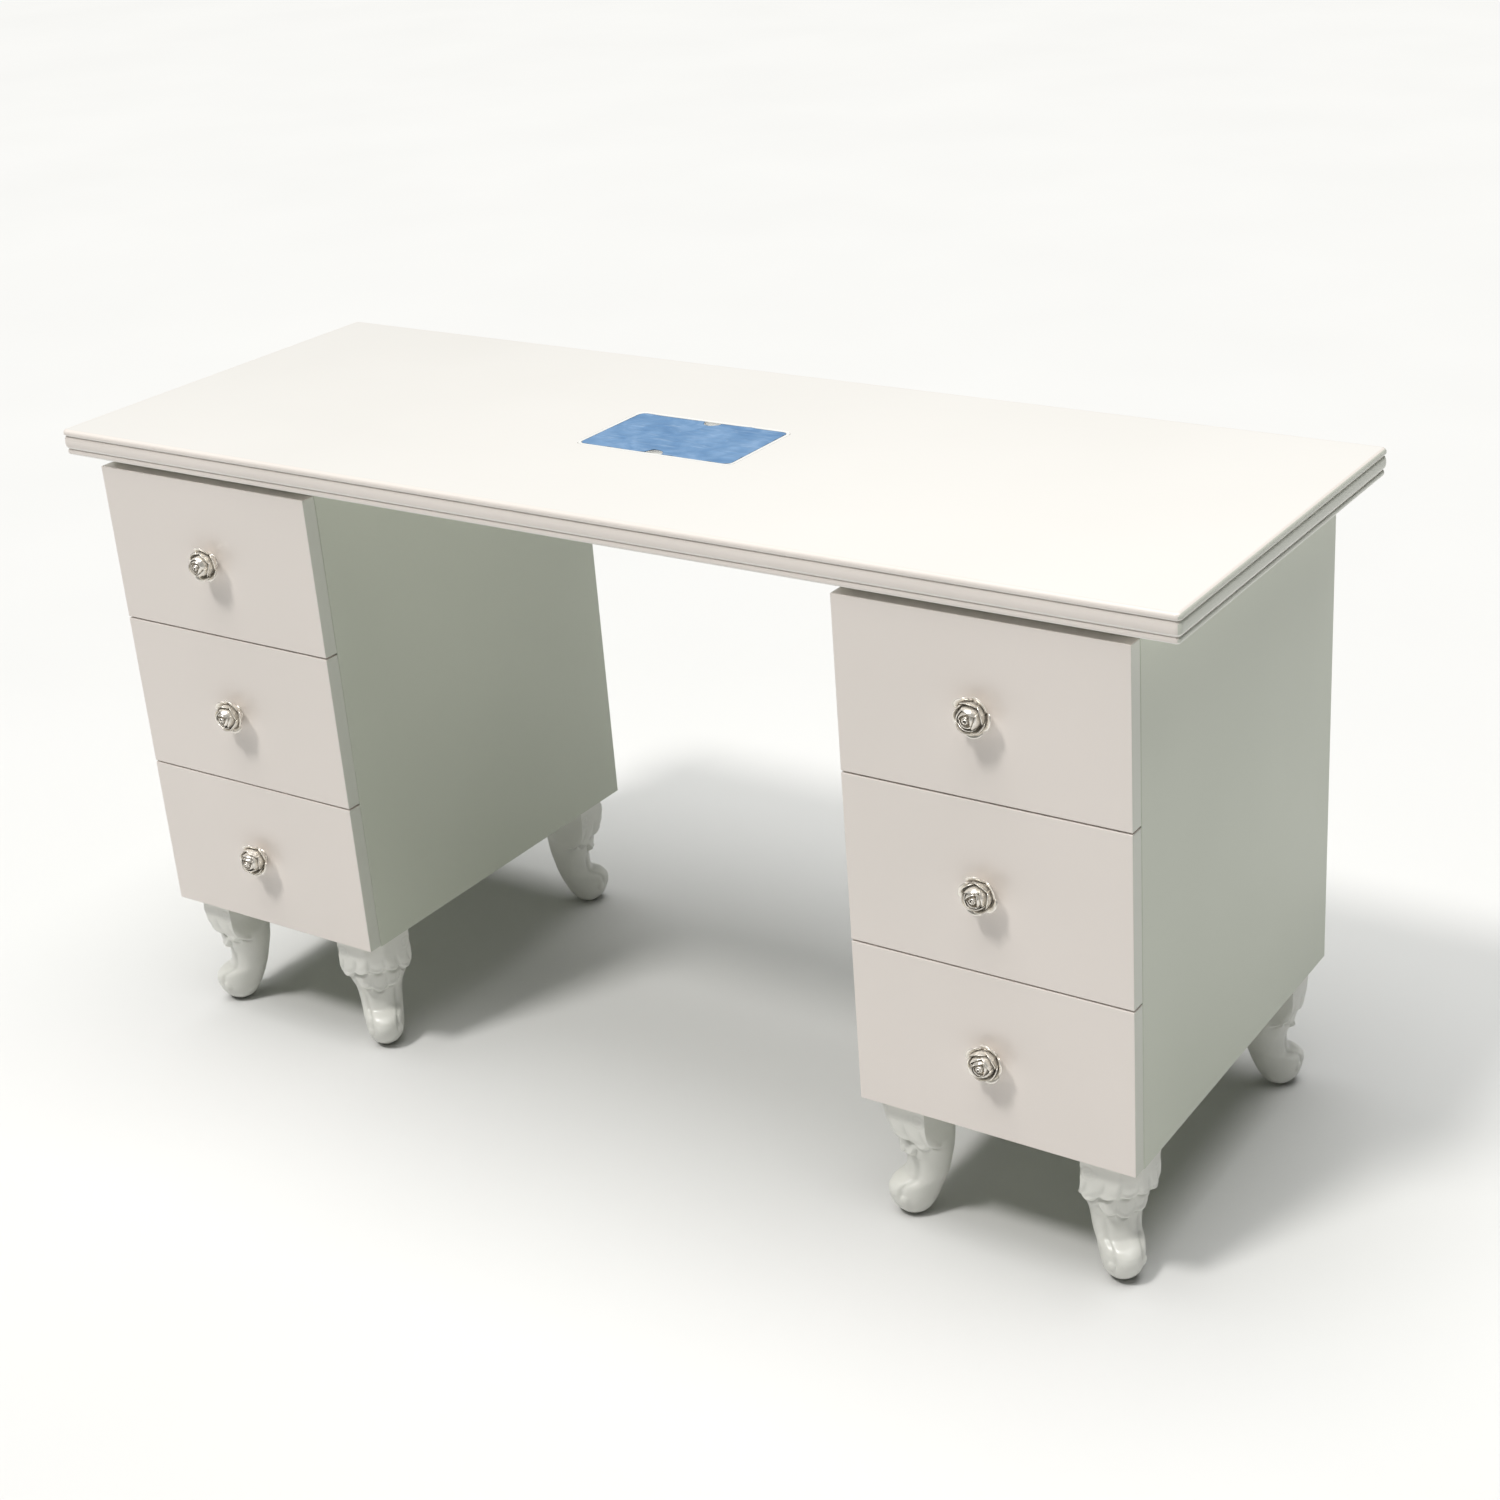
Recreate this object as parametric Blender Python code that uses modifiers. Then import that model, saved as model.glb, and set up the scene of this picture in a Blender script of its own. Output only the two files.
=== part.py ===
"""A manicure table with two drawer pedestals on carved cabriole legs.

The tabletop has a flush vent in its middle, with a shallow fan box under it. Each pedestal
is a carcass of five boards with three overlay drawers, which run on plastic strips, and it
stands on four legs. +X is the length, the drawers open towards -Y, and +Z is up. The origin
is on the floor, in the middle of the object's whole footprint. Lengths are in metres.
"""
import math

import bmesh
import bpy
from mathutils import Vector

# ---------------------------------------------------------------- driving dimensions
LENGTH = 1.400              # tabletop, along X
DEPTH = 0.500               # tabletop, along Y
HEIGHT = 0.750
TOUCH_GAP = 0.0003          # between pieces that touch
OVERCUT = 0.010             # how far a cutter runs past the face it cuts

LIP = 0.006                 # each thin layer of the moulded edge
CORE = 0.018                # thick middle layer of the moulded edge
SLAB = CORE + 2 * LIP
GROOVE = 0.0022             # how far the two grooves go in
GROOVE_WIDTH = 0.0010
CORNER_RADIUS = 0.011

LEG_HEIGHT = 0.150
BOARD = 0.018
PEDESTAL_OUTER = 0.650      # outer side face, from the middle of the table
PEDESTAL_INNER = 0.337      # face towards the knee space
FACE_INSET = 0.0065         # drawer faces behind the tabletop's front edge
BACK_INSET = 0.010          # pedestal backs ahead of the tabletop's back edge

DRAWERS = ("top", "middle", "bottom")
FRONT_THICKNESS = 0.018
FRONT_GAP = 0.003           # between two drawer fronts
FRONT_TOP = HEIGHT - SLAB - 0.010
FRONT_BOTTOM = LEG_HEIGHT + 0.0025
BOX_LENGTH = 0.400
BOX_HEIGHT = 0.120
BOX_WALL = 0.012
BOX_BOTTOM = 0.005
BOX_BOTTOM_RAISE = 0.008
BOX_SIDE_CLEARANCE = 0.004
SLOT_HEIGHT = 0.013         # groove in a drawer's side, for its runner
SLOT_DEPTH = 0.0055
RUNNER_HEIGHT = 0.012
RUNNER_LENGTH = 0.380
RUNNER_PLAY = 0.0008        # between its tip and the groove
RUNNER_SETBACK = 0.003      # behind the drawer box's front wall
KNOB_REACH = 0.029          # in front of the drawer face
KNOB_RADIUS = 0.0172

BLOCK = 0.060               # side of the square block on top of each leg
BLOCK_SIDE_INSET = 0.003
BLOCK_FRONT_INSET = 0.008

VENT_LENGTH = 0.197         # lift-out cover
VENT_DEPTH = 0.115
VENT_CORNER = 0.007
COVER = 0.0015
FILM = 0.0003
NOTCH_RADIUS = 0.011        # half-round finger notches in the cover
SCOOP_DEPTH = 0.005         # hollow under each notch
FLANGE_WIDTH = 0.004
FLANGE = 0.0085
LEDGE = 0.006               # what the cover rests on, round the well
TRAY_WALL = 0.002
TRAY_DEPTH = 0.0343
FILTER = 0.008
FAN_SIDE = 0.092
FAN_DEPTH = 0.025
FAN_BORE = 0.0430
ROTOR_RADIUS = 0.0415
HUB_RADIUS = 0.0180
SPINDLE_RADIUS = 0.0020
SPINDLE_CLEARANCE = 0.00007
BLADES = 7
HOUSING_WALL = 0.002
HOUSING_LENGTH = 0.210
HOUSING_DEPTH = 0.130
HOUSING_FLANGE = 0.008
SLOT_COLUMNS = 5            # slots in the vent cover
SLOT_ROWS = 7
SLOT_PITCH = (0.034, 0.012)
SLOT_SIZE = (0.024, 0.004)
POCKET_LENGTH = 0.032       # thickened wall behind each finger hollow
STRUT_WIDTH = 0.004
STRUT_DEPTH = 0.003
SPINDLE_HEIGHT = 0.014
BLADE_THICKNESS = 0.0016
BLADE_WIDTH = 0.022
BLADE_PITCH = math.radians(48)
GUARD_DEPTH = 0.0016
GUARD_RIB = 0.003
GUARD_RINGS = (0.012, 0.022, 0.032, FAN_BORE - 0.0016)
SWITCH_TILT = math.radians(7)
SWITCH_WIDTH = 0.013
SWITCH_HEIGHT = 0.018
SWITCH_PLAY = 0.0008
INLET_WIDTH = 0.020
INLET_HEIGHT = 0.012
INLET_REACH = 0.010         # behind the housing's wall
INLET_SOCKET = (0.015, 0.007, 0.007)    # width, depth, height
INLET_PIN_RADIUS = 0.0012
INLET_PIN_LENGTH = 0.008
INLET_PIN_PITCH = 0.0080
FITTING_X = 0.075           # switch and inlet, from the housing's middle
FITTING_DROP = 0.002        # and below the middle of its walls

# ---------------------------------------------------------------- worked out from them
MIDDLE_Y = (KNOB_REACH + TOUCH_GAP - FACE_INSET) / 2    # tabletop middle: the knobs stick out
FRONT_Y = MIDDLE_Y - DEPTH / 2
BACK_Y = MIDDLE_Y + DEPTH / 2
FACE_Y = FRONT_Y + FACE_INSET
CARCASS_FRONT = FACE_Y + FRONT_THICKNESS + TOUCH_GAP
CARCASS_BACK = BACK_Y - BACK_INSET
CARCASS_BOTTOM = LEG_HEIGHT + TOUCH_GAP
SLAB_BOTTOM = HEIGHT - SLAB
CARCASS_TOP = SLAB_BOTTOM - TOUCH_GAP
PEDESTAL_MIDDLE = (PEDESTAL_OUTER + PEDESTAL_INNER) / 2
PEDESTAL_WIDTH = PEDESTAL_OUTER - PEDESTAL_INNER
FRONT_HEIGHT = (FRONT_TOP - FRONT_BOTTOM - 2 * FRONT_GAP) / 3
BOX_WIDTH = PEDESTAL_WIDTH - 2 * BOARD - 2 * BOX_SIDE_CLEARANCE
TRAY_BOTTOM = HEIGHT - TRAY_DEPTH
FAN_TOP = TRAY_BOTTOM - TOUCH_GAP
FAN_BOTTOM = FAN_TOP - FAN_DEPTH
HOUSING_FLOOR_TOP = FAN_BOTTOM - TOUCH_GAP
HOUSING_BOTTOM = HOUSING_FLOOR_TOP - HOUSING_WALL
WELL_LENGTH = VENT_LENGTH - 2 * LEDGE
WELL_DEPTH = VENT_DEPTH - 2 * LEDGE
FILM_TOP = HEIGHT - 0.0003
FILM_BOTTOM = FILM_TOP - FILM
COVER_TOP = FILM_BOTTOM - TOUCH_GAP / 3
COVER_BOTTOM = COVER_TOP - COVER

for leftover in list(bpy.data.objects):
    bpy.data.objects.remove(leftover, do_unlink=True)

parts = bpy.data.collections.new("manicure_table")
cutters = bpy.data.collections.new("cutters")
bpy.context.scene.collection.children.link(parts)
bpy.context.scene.collection.children.link(cutters)


# ---------------------------------------------------------------- materials
def material(name, colour, roughness, metallic=0.0):
    made = bpy.data.materials.new(name)
    made.use_nodes = True
    shader = made.node_tree.nodes["Principled BSDF"]
    shader.inputs["Base Color"].default_value = (*colour, 1.0)
    shader.inputs["Roughness"].default_value = roughness
    shader.inputs["Metallic"].default_value = metallic
    return made


LACQUER = material("white_lacquer", (0.86, 0.84, 0.80), 0.22)
CARCASS = material("white_board", (0.82, 0.81, 0.77), 0.35)
CARVED = material("carved_leg_lacquer", (0.80, 0.80, 0.75), 0.25)
LINER = material("drawer_liner", (0.78, 0.77, 0.73), 0.5)
SILVER = material("silver_plate", (0.78, 0.77, 0.75), 0.22, 1.0)
TRAY_PLASTIC = material("white_plastic", (0.83, 0.83, 0.80), 0.4)
COVER_METAL = material("cover_metal", (0.72, 0.73, 0.74), 0.35, 1.0)
BLUE_FILM = material("blue_film", (0.24, 0.41, 0.66), 0.3)
FELT = material("filter_felt", (0.75, 0.76, 0.76), 0.95)
DARK_PLASTIC = material("dark_plastic", (0.05, 0.05, 0.055), 0.45)
RUNNER_PLASTIC = material("runner_plastic", (0.80, 0.80, 0.78), 0.45)


# ---------------------------------------------------------------- making objects
def add(name, mesh, finish, place=(0, 0, 0), parent=None, turn=0.0):
    """Put a mesh into the part as a named object; place is in world axes."""
    made = bpy.data.objects.new(name, mesh)
    parts.objects.link(made)
    if not mesh.materials:
        mesh.materials.append(finish)
    made.rotation_euler = (0.0, 0.0, turn)
    made.location = Vector(place)
    if parent:
        made.parent = parent
        made.location = Vector(place) - parent.location
    return made


def add_pivot(name, place):
    pivot = bpy.data.objects.new(name, None)
    parts.objects.link(pivot)
    pivot.location = place
    return pivot


def as_cutter(piece):
    """Move a piece to the cutters, so that it only shapes others."""
    for collection in list(piece.users_collection):
        collection.objects.unlink(piece)
    cutters.objects.link(piece)
    piece.hide_render = True
    piece.display_type = "WIRE"
    return piece


def box_mesh(name, size):
    """A box round its own origin."""
    shape = bmesh.new()
    bmesh.ops.create_cube(shape, size=1.0)
    bmesh.ops.scale(shape, vec=Vector(size), verts=shape.verts)
    mesh = bpy.data.meshes.new(name)
    shape.to_mesh(mesh)
    shape.free()
    return mesh


def cylinder_mesh(name, radius, depth, segments=32, top_radius=None):
    shape = bmesh.new()
    bmesh.ops.create_cone(shape, cap_ends=True, segments=segments, radius1=radius,
                          radius2=radius if top_radius is None else top_radius, depth=depth)
    mesh = bpy.data.meshes.new(name)
    shape.to_mesh(mesh)
    shape.free()
    return mesh


def add_box(name, low, high, finish, ease=0.0, parent=None):
    """A board between two corners, with its edges eased by a bevel."""
    low = Vector(low)
    high = Vector(high)
    made = add(name, box_mesh(name, high - low), finish, (low + high) / 2, parent)
    if ease:
        soften(made, ease)
    return made


def soften(piece, width, segments=1, angle=40):
    bevel = piece.modifiers.new("eased_edges", "BEVEL")
    bevel.width = width
    bevel.segments = segments
    bevel.limit_method = "ANGLE"
    bevel.angle_limit = math.radians(angle)


def boolean(target, tool, operation="DIFFERENCE"):
    step = target.modifiers.new(tool.name, "BOOLEAN")
    step.operation = operation
    step.solver = "EXACT"
    step.object = tool


def cutter_box(name, low, high):
    return as_cutter(add_box(name, low, high, CARCASS))


def cutter_cylinder(name, radius, depth, place, segments=32):
    return as_cutter(add(name, cylinder_mesh(name, radius, depth, segments), CARCASS, place))


def settle(piece):
    """Replace an object's mesh by its evaluated one, so that copies can share it."""
    graph = bpy.context.evaluated_depsgraph_get()
    mesh = bpy.data.meshes.new_from_object(piece.evaluated_get(graph))
    mesh.name = piece.name
    piece.modifiers.clear()
    piece.data = mesh
    return mesh


def rounded_outline(length, depth, radius, steps):
    """Points round a rectangle with round corners, anticlockwise."""
    points = []
    for corner, (side_x, side_y) in enumerate(((1, 1), (-1, 1), (-1, -1), (1, -1))):
        middle_x = side_x * (length / 2 - radius)
        middle_y = side_y * (depth / 2 - radius)
        for step in range(steps + 1):
            angle = math.pi / 2 * (corner + step / steps)
            points.append((middle_x + radius * math.cos(angle), middle_y + radius * math.sin(angle)))
    return points


def half_disc(radius, side, steps=12):
    """Points round half a disc, on the +Y or the -Y side of its straight edge."""
    angles = [math.pi * step / steps for step in range(steps + 1)]
    return [(radius * math.cos(angle), side * radius * math.sin(angle)) for angle in angles]


def plate_mesh(name, outline, thickness):
    """A flat plate round its own origin: a filled 2D curve with some thickness."""
    curve = bpy.data.curves.new(name, "CURVE")
    curve.dimensions = "2D"
    curve.fill_mode = "BOTH"
    curve.extrude = thickness / 2
    spline = curve.splines.new("POLY")
    spline.points.add(len(outline) - 1)
    for point, (x, y) in zip(spline.points, outline):
        point.co = (x, y, 0.0, 1.0)
    spline.use_cyclic_u = True
    holder = bpy.data.objects.new(name, curve)
    parts.objects.link(holder)
    graph = bpy.context.evaluated_depsgraph_get()
    mesh = bpy.data.meshes.new_from_object(holder.evaluated_get(graph))
    bpy.data.objects.remove(holder, do_unlink=True)
    shape = bmesh.new()
    shape.from_mesh(mesh)
    bmesh.ops.remove_doubles(shape, verts=shape.verts, dist=0.00002)
    shape.to_mesh(mesh)
    shape.free()
    mesh.materials.clear()
    return mesh


def rounded_plate(name, size, radius, low_z, high_z, finish, steps=4):
    outline = rounded_outline(size[0], size[1], radius, steps)
    mesh = plate_mesh(name, outline, high_z - low_z)
    return add(name, mesh, finish, (0.0, MIDDLE_Y, (low_z + high_z) / 2))


def turned(name, profile, steps, finish, place, parent=None):
    """A turned piece about Z; its profile runs down the outer side, as (radius, height)."""
    mesh = bpy.data.meshes.new(name)
    points = [(radius, 0.0, height) for radius, height in profile]
    edges = [(index, index + 1) for index in range(len(points) - 1)]
    mesh.from_pydata(points, edges, [])
    made = add(name, mesh, finish, place, parent)
    screw = made.modifiers.new("turned", "SCREW")
    screw.steps = steps
    screw.render_steps = steps
    screw.use_merge_vertices = True
    screw.merge_threshold = 0.00001
    screw.use_smooth_shade = True
    return made


# ---------------------------------------------------------------- tabletop
def make_tabletop():
    """One slab: a core with a thin lip, a thick layer and a thin lip round its edge."""
    inner = (LENGTH - 2 * GROOVE, DEPTH - 2 * GROOVE)
    top = rounded_plate("tabletop", inner, CORNER_RADIUS - GROOVE,
                        SLAB_BOTTOM + LIP / 2, HEIGHT - LIP / 2, LACQUER)
    layers = (
        ("lower_lip", SLAB_BOTTOM, SLAB_BOTTOM + LIP - GROOVE_WIDTH / 2, 0.0022),
        ("middle_layer", SLAB_BOTTOM + LIP + GROOVE_WIDTH / 2, HEIGHT - LIP - GROOVE_WIDTH / 2, 0.0035),
    )
    for name, low, high, rounding in layers:
        layer = rounded_plate(name, (LENGTH, DEPTH), CORNER_RADIUS, low, high, LACQUER)
        soften(layer, rounding, 2)
        boolean(top, as_cutter(layer), "UNION")
    boolean(top, as_cutter(make_upper_lip()), "UNION")
    wider = 2 * (FLANGE_WIDTH + TOUCH_GAP)
    recess = rounded_plate("flange_recess", (VENT_LENGTH + wider, VENT_DEPTH + wider),
                           VENT_CORNER + FLANGE_WIDTH, HEIGHT - FLANGE - TOUCH_GAP, HEIGHT + OVERCUT,
                           LACQUER, 3)
    boolean(top, as_cutter(recess))
    wider = 2 * (TRAY_WALL + TOUCH_GAP)
    hole = rounded_plate("vent_hole", (WELL_LENGTH + wider, WELL_DEPTH + wider), VENT_CORNER,
                         SLAB_BOTTOM - OVERCUT, HEIGHT + OVERCUT, LACQUER, 3)
    boolean(top, as_cutter(hole))


def make_upper_lip():
    """The top layer: only its upper edge is rounded, by a whole quarter round."""
    low = HEIGHT - LIP + GROOVE_WIDTH / 2
    lip = rounded_plate("upper_lip", (LENGTH, DEPTH), CORNER_RADIUS, low, HEIGHT, LACQUER)
    weights = lip.data.attributes.new("bevel_weight_edge", "FLOAT", "EDGE")
    for edge in lip.data.edges:
        ends = [lip.data.vertices[index].co.z for index in edge.vertices]
        weights.data[edge.index].value = 1.0 if min(ends) > 0.0 else 0.0
    bevel = lip.modifiers.new("quarter_round", "BEVEL")
    bevel.width = 0.0050
    bevel.segments = 3
    bevel.limit_method = "WEIGHT"
    return lip


# ---------------------------------------------------------------- pedestals
def make_carcass(side, sign):
    """Five boards: the side panels run the whole height, the rest fit between them."""
    outer = (PEDESTAL_OUTER - BOARD, PEDESTAL_OUTER)
    inner = (PEDESTAL_INNER, PEDESTAL_INNER + BOARD)
    between = (PEDESTAL_INNER + BOARD + TOUCH_GAP, PEDESTAL_OUTER - BOARD - TOUCH_GAP)
    back_front = CARCASS_BACK - BOARD / 2
    boards = (
        ("outer_side", outer, (CARCASS_FRONT, CARCASS_BACK), (CARCASS_BOTTOM, CARCASS_TOP)),
        ("inner_side", inner, (CARCASS_FRONT, CARCASS_BACK), (CARCASS_BOTTOM, CARCASS_TOP)),
        ("bottom", between, (CARCASS_FRONT, CARCASS_BACK), (CARCASS_BOTTOM, CARCASS_BOTTOM + BOARD)),
        ("top", between, (CARCASS_FRONT, CARCASS_BACK), (CARCASS_TOP - BOARD, CARCASS_TOP)),
        ("back", between, (back_front, CARCASS_BACK),
         (CARCASS_BOTTOM + BOARD + TOUCH_GAP, CARCASS_TOP - BOARD - TOUCH_GAP)),
    )
    for name, along, across, up in boards:
        ends = sorted(sign * x for x in along)
        add_box(f"{side}_{name}_panel", (ends[0], across[0], up[0]), (ends[1], across[1], up[1]),
                CARCASS, 0.0008)


# ---------------------------------------------------------------- drawers
def front_middle_z(row):
    """Height of the middle of a drawer front; row 0 is the top one."""
    return FRONT_TOP - FRONT_HEIGHT / 2 - row * (FRONT_HEIGHT + FRONT_GAP)


def drawer_box_mesh():
    """An open box, with a raised bottom and a groove for a runner in each side."""
    size = Vector((BOX_WIDTH, BOX_LENGTH, BOX_HEIGHT))
    shell = add("drawer_box", box_mesh("drawer_box", size), LINER)
    half = size / 2
    floor = -half.z + BOX_BOTTOM_RAISE + BOX_BOTTOM
    inside = (half.x - BOX_WALL, half.y - BOX_WALL)
    boolean(shell, cutter_box("box_inside", (-inside[0], -inside[1], floor), (*inside, half.z + OVERCUT)))
    boolean(shell, cutter_box("box_underside", (-inside[0], -inside[1], -half.z - OVERCUT),
                              (*inside, floor - BOX_BOTTOM)))
    for sign in (-1, 1):
        ends = sorted((sign * (half.x - SLOT_DEPTH), sign * (half.x + OVERCUT)))
        boolean(shell, cutter_box(f"runner_groove_{'left' if sign < 0 else 'right'}",
                                  (ends[0], -half.y + BOX_WALL, -SLOT_HEIGHT / 2),
                                  (ends[1], half.y + OVERCUT, SLOT_HEIGHT / 2)))
    mesh = settle(shell)
    bpy.data.objects.remove(shell, do_unlink=True)
    return mesh


def make_knob(name, place, parent):
    """A silver flower knob; scooped petals stand round a rolled bud."""
    profile = (
        (0.0000, 0.0290), (0.0045, 0.0284), (0.0070, 0.0258), (0.0098, 0.0270), (0.0132, 0.0248),
        (0.0160, 0.0205), (KNOB_RADIUS, 0.0165), (0.0155, 0.0115), (0.0100, 0.0080),
        (0.0068, 0.0052), (0.0080, 0.0024), (0.0092, 0.0000), (0.0000, 0.0000),
    )
    knob = turned(name, profile, 16, SILVER, place, parent)
    knob.rotation_euler = (math.radians(90), 0.0, 0.0)


def make_drawers(side, sign, box):
    for row, level in enumerate(DRAWERS):
        middle_x = sign * PEDESTAL_MIDDLE
        middle_z = front_middle_z(row)
        drawer = add_pivot(f"{side}_{level}_drawer", (middle_x, FACE_Y, middle_z))
        add_box(f"{side}_{level}_drawer_front",
                (middle_x - PEDESTAL_WIDTH / 2, FACE_Y, middle_z - FRONT_HEIGHT / 2),
                (middle_x + PEDESTAL_WIDTH / 2, FACE_Y + FRONT_THICKNESS, middle_z + FRONT_HEIGHT / 2),
                LACQUER, 0.0012, drawer)
        add(f"{side}_{level}_drawer_box", box, LINER,
            (middle_x, CARCASS_FRONT + BOX_LENGTH / 2, middle_z), drawer)
        make_knob(f"{side}_{level}_knob", (middle_x, FACE_Y - TOUCH_GAP, middle_z), drawer)
        for end, edge in (("outer", PEDESTAL_OUTER - BOARD), ("inner", PEDESTAL_INNER + BOARD)):
            inwards = -1 if end == "outer" else 1
            wall = edge + inwards * TOUCH_GAP
            tip = edge + inwards * (BOX_SIDE_CLEARANCE + SLOT_DEPTH - RUNNER_PLAY)
            ends = sorted((sign * wall, sign * tip))
            start = CARCASS_FRONT + BOX_WALL + RUNNER_SETBACK
            add_box(f"{side}_{level}_{end}_runner", (ends[0], start, middle_z - RUNNER_HEIGHT / 2),
                    (ends[1], start + RUNNER_LENGTH, middle_z + RUNNER_HEIGHT / 2), RUNNER_PLASTIC)


# ---------------------------------------------------------------- legs
# Stations of a leg from the floor up, in millimetres: height, front and back of the section
# (outwards is positive), half width, and how round it is (2 is an ellipse, 1 is a diamond,
# whose sides lie along the pedestal's faces).
LEG_STATIONS = (
    (0, 10, -10, 10, 2.0),
    (5, 16, -16, 15, 2.0),
    (18, 22.5, -24, 20.8, 2.0),
    (33, 25, -31.5, 23.2, 2.1),
    (45, 20.5, -36, 24, 2.1),
    (56, 8.5, -39.5, 25, 2.1),
    (76, 5, -44, 27, 2.0),
    (84, 10.5, -46, 28.8, 1.9),
    (104, 13.5, -47.8, 33.5, 1.7),
    (113, 20.5, -48, 39, 1.35),
    (128, 27.5, -47, 42.5, 1.0),
    (150, 24, -46.4, 42.4, 1.0),
)
LEG_SIDES = 16
BLOCK_HALF_DIAGONAL = 42.4
FOOT_OFFSET = 4.0           # the foot's middle, outwards from the block's middle
MILLIMETRE = 0.001


def leg_section(front, back, half_width, roundness):
    """Points round one section of a leg, in millimetres from the block's middle."""
    squareness = 2.0 - roundness
    middle = 0.5 * (front + back) * (1 - squareness) - FOOT_OFFSET * squareness
    reach = max(front - middle, BLOCK_HALF_DIAGONAL * squareness)
    points = []
    for side in range(LEG_SIDES):
        angle = 2 * math.pi * side / LEG_SIDES
        along = math.copysign(abs(math.cos(angle)) ** (2 / roundness), math.cos(angle))
        across = math.copysign(abs(math.sin(angle)) ** (2 / roundness), math.sin(angle))
        depth = reach if along > 0 else middle - back
        points.append((min(middle + depth * along, front) + FOOT_OFFSET, half_width * across))
    return points


def leg_mesh():
    """A loft from a round foot, through a slim ankle, to a carved knee and a square block."""
    rings = []
    shape = bmesh.new()
    for height, front, back, half_width, roundness in LEG_STATIONS:
        section = leg_section(front, back, half_width, roundness)
        rings.append([shape.verts.new(Vector((x, y, height)) * MILLIMETRE) for x, y in section])
    for lower, upper in zip(rings, rings[1:]):
        for side in range(LEG_SIDES):
            following = (side + 1) % LEG_SIDES
            shape.faces.new((lower[side], lower[following], upper[following], upper[side]))
    shape.faces.new(list(reversed(rings[0])))
    shape.faces.new(rings[-1])
    mesh = bpy.data.meshes.new("leg")
    shape.to_mesh(mesh)
    shape.free()
    mesh.shade_smooth()
    mesh.set_sharp_from_angle(angle=math.radians(35))
    return mesh


def make_legs(side, sign, mesh):
    """Four legs under a pedestal, each facing out over its own corner."""
    side_middle = BLOCK_SIDE_INSET + BLOCK / 2
    columns = (("outer", sign * (PEDESTAL_OUTER - side_middle), sign),
               ("inner", sign * (PEDESTAL_INNER + side_middle), -sign))
    rows = (("front", FACE_Y + BLOCK_FRONT_INSET + BLOCK / 2, -1),
            ("back", CARCASS_BACK - BLOCK_FRONT_INSET - BLOCK / 2, 1))
    for column, x, facing_x in columns:
        for row, y, facing_y in rows:
            add(f"{side}_{row}_{column}_leg", mesh, CARVED, (x, y, 0.0),
                turn=math.atan2(facing_y, facing_x))


# ---------------------------------------------------------------- vent
def cut_notches(piece, low_z, high_z):
    """Half-round finger notches in the middle of both long edges."""
    for name, edge in (("front", MIDDLE_Y - VENT_DEPTH / 2), ("back", MIDDLE_Y + VENT_DEPTH / 2)):
        place = (0.0, edge, (low_z + high_z) / 2)
        boolean(piece, cutter_cylinder(f"{piece.name}_{name}_notch", NOTCH_RADIUS, high_z - low_z, place, 24))


def make_vent_cover():
    """A slotted plate that lifts out, with a protective film on its top face."""
    cover = rounded_plate("vent_cover", (VENT_LENGTH, VENT_DEPTH), VENT_CORNER, COVER_BOTTOM, COVER_TOP,
                          COVER_METAL)
    for column in range(SLOT_COLUMNS):
        for row in range(SLOT_ROWS):
            x = (column - (SLOT_COLUMNS - 1) / 2) * SLOT_PITCH[0]
            y = MIDDLE_Y + (row - (SLOT_ROWS - 1) / 2) * SLOT_PITCH[1]
            slot = cutter_box(f"slot_{column}_{row}",
                              (x - SLOT_SIZE[0] / 2, y - SLOT_SIZE[1] / 2, COVER_BOTTOM - OVERCUT / 2),
                              (x + SLOT_SIZE[0] / 2, y + SLOT_SIZE[1] / 2, COVER_TOP + OVERCUT / 2))
            boolean(cover, slot)
    cut_notches(cover, COVER_BOTTOM - OVERCUT / 2, COVER_TOP + OVERCUT / 2)
    inset = 2 * TOUCH_GAP
    film = rounded_plate("cover_film", (VENT_LENGTH - inset, VENT_DEPTH - inset), VENT_CORNER,
                         FILM_BOTTOM, FILM_TOP, BLUE_FILM)
    cut_notches(film, FILM_BOTTOM - OVERCUT / 2, FILM_TOP + OVERCUT / 2)


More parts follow.
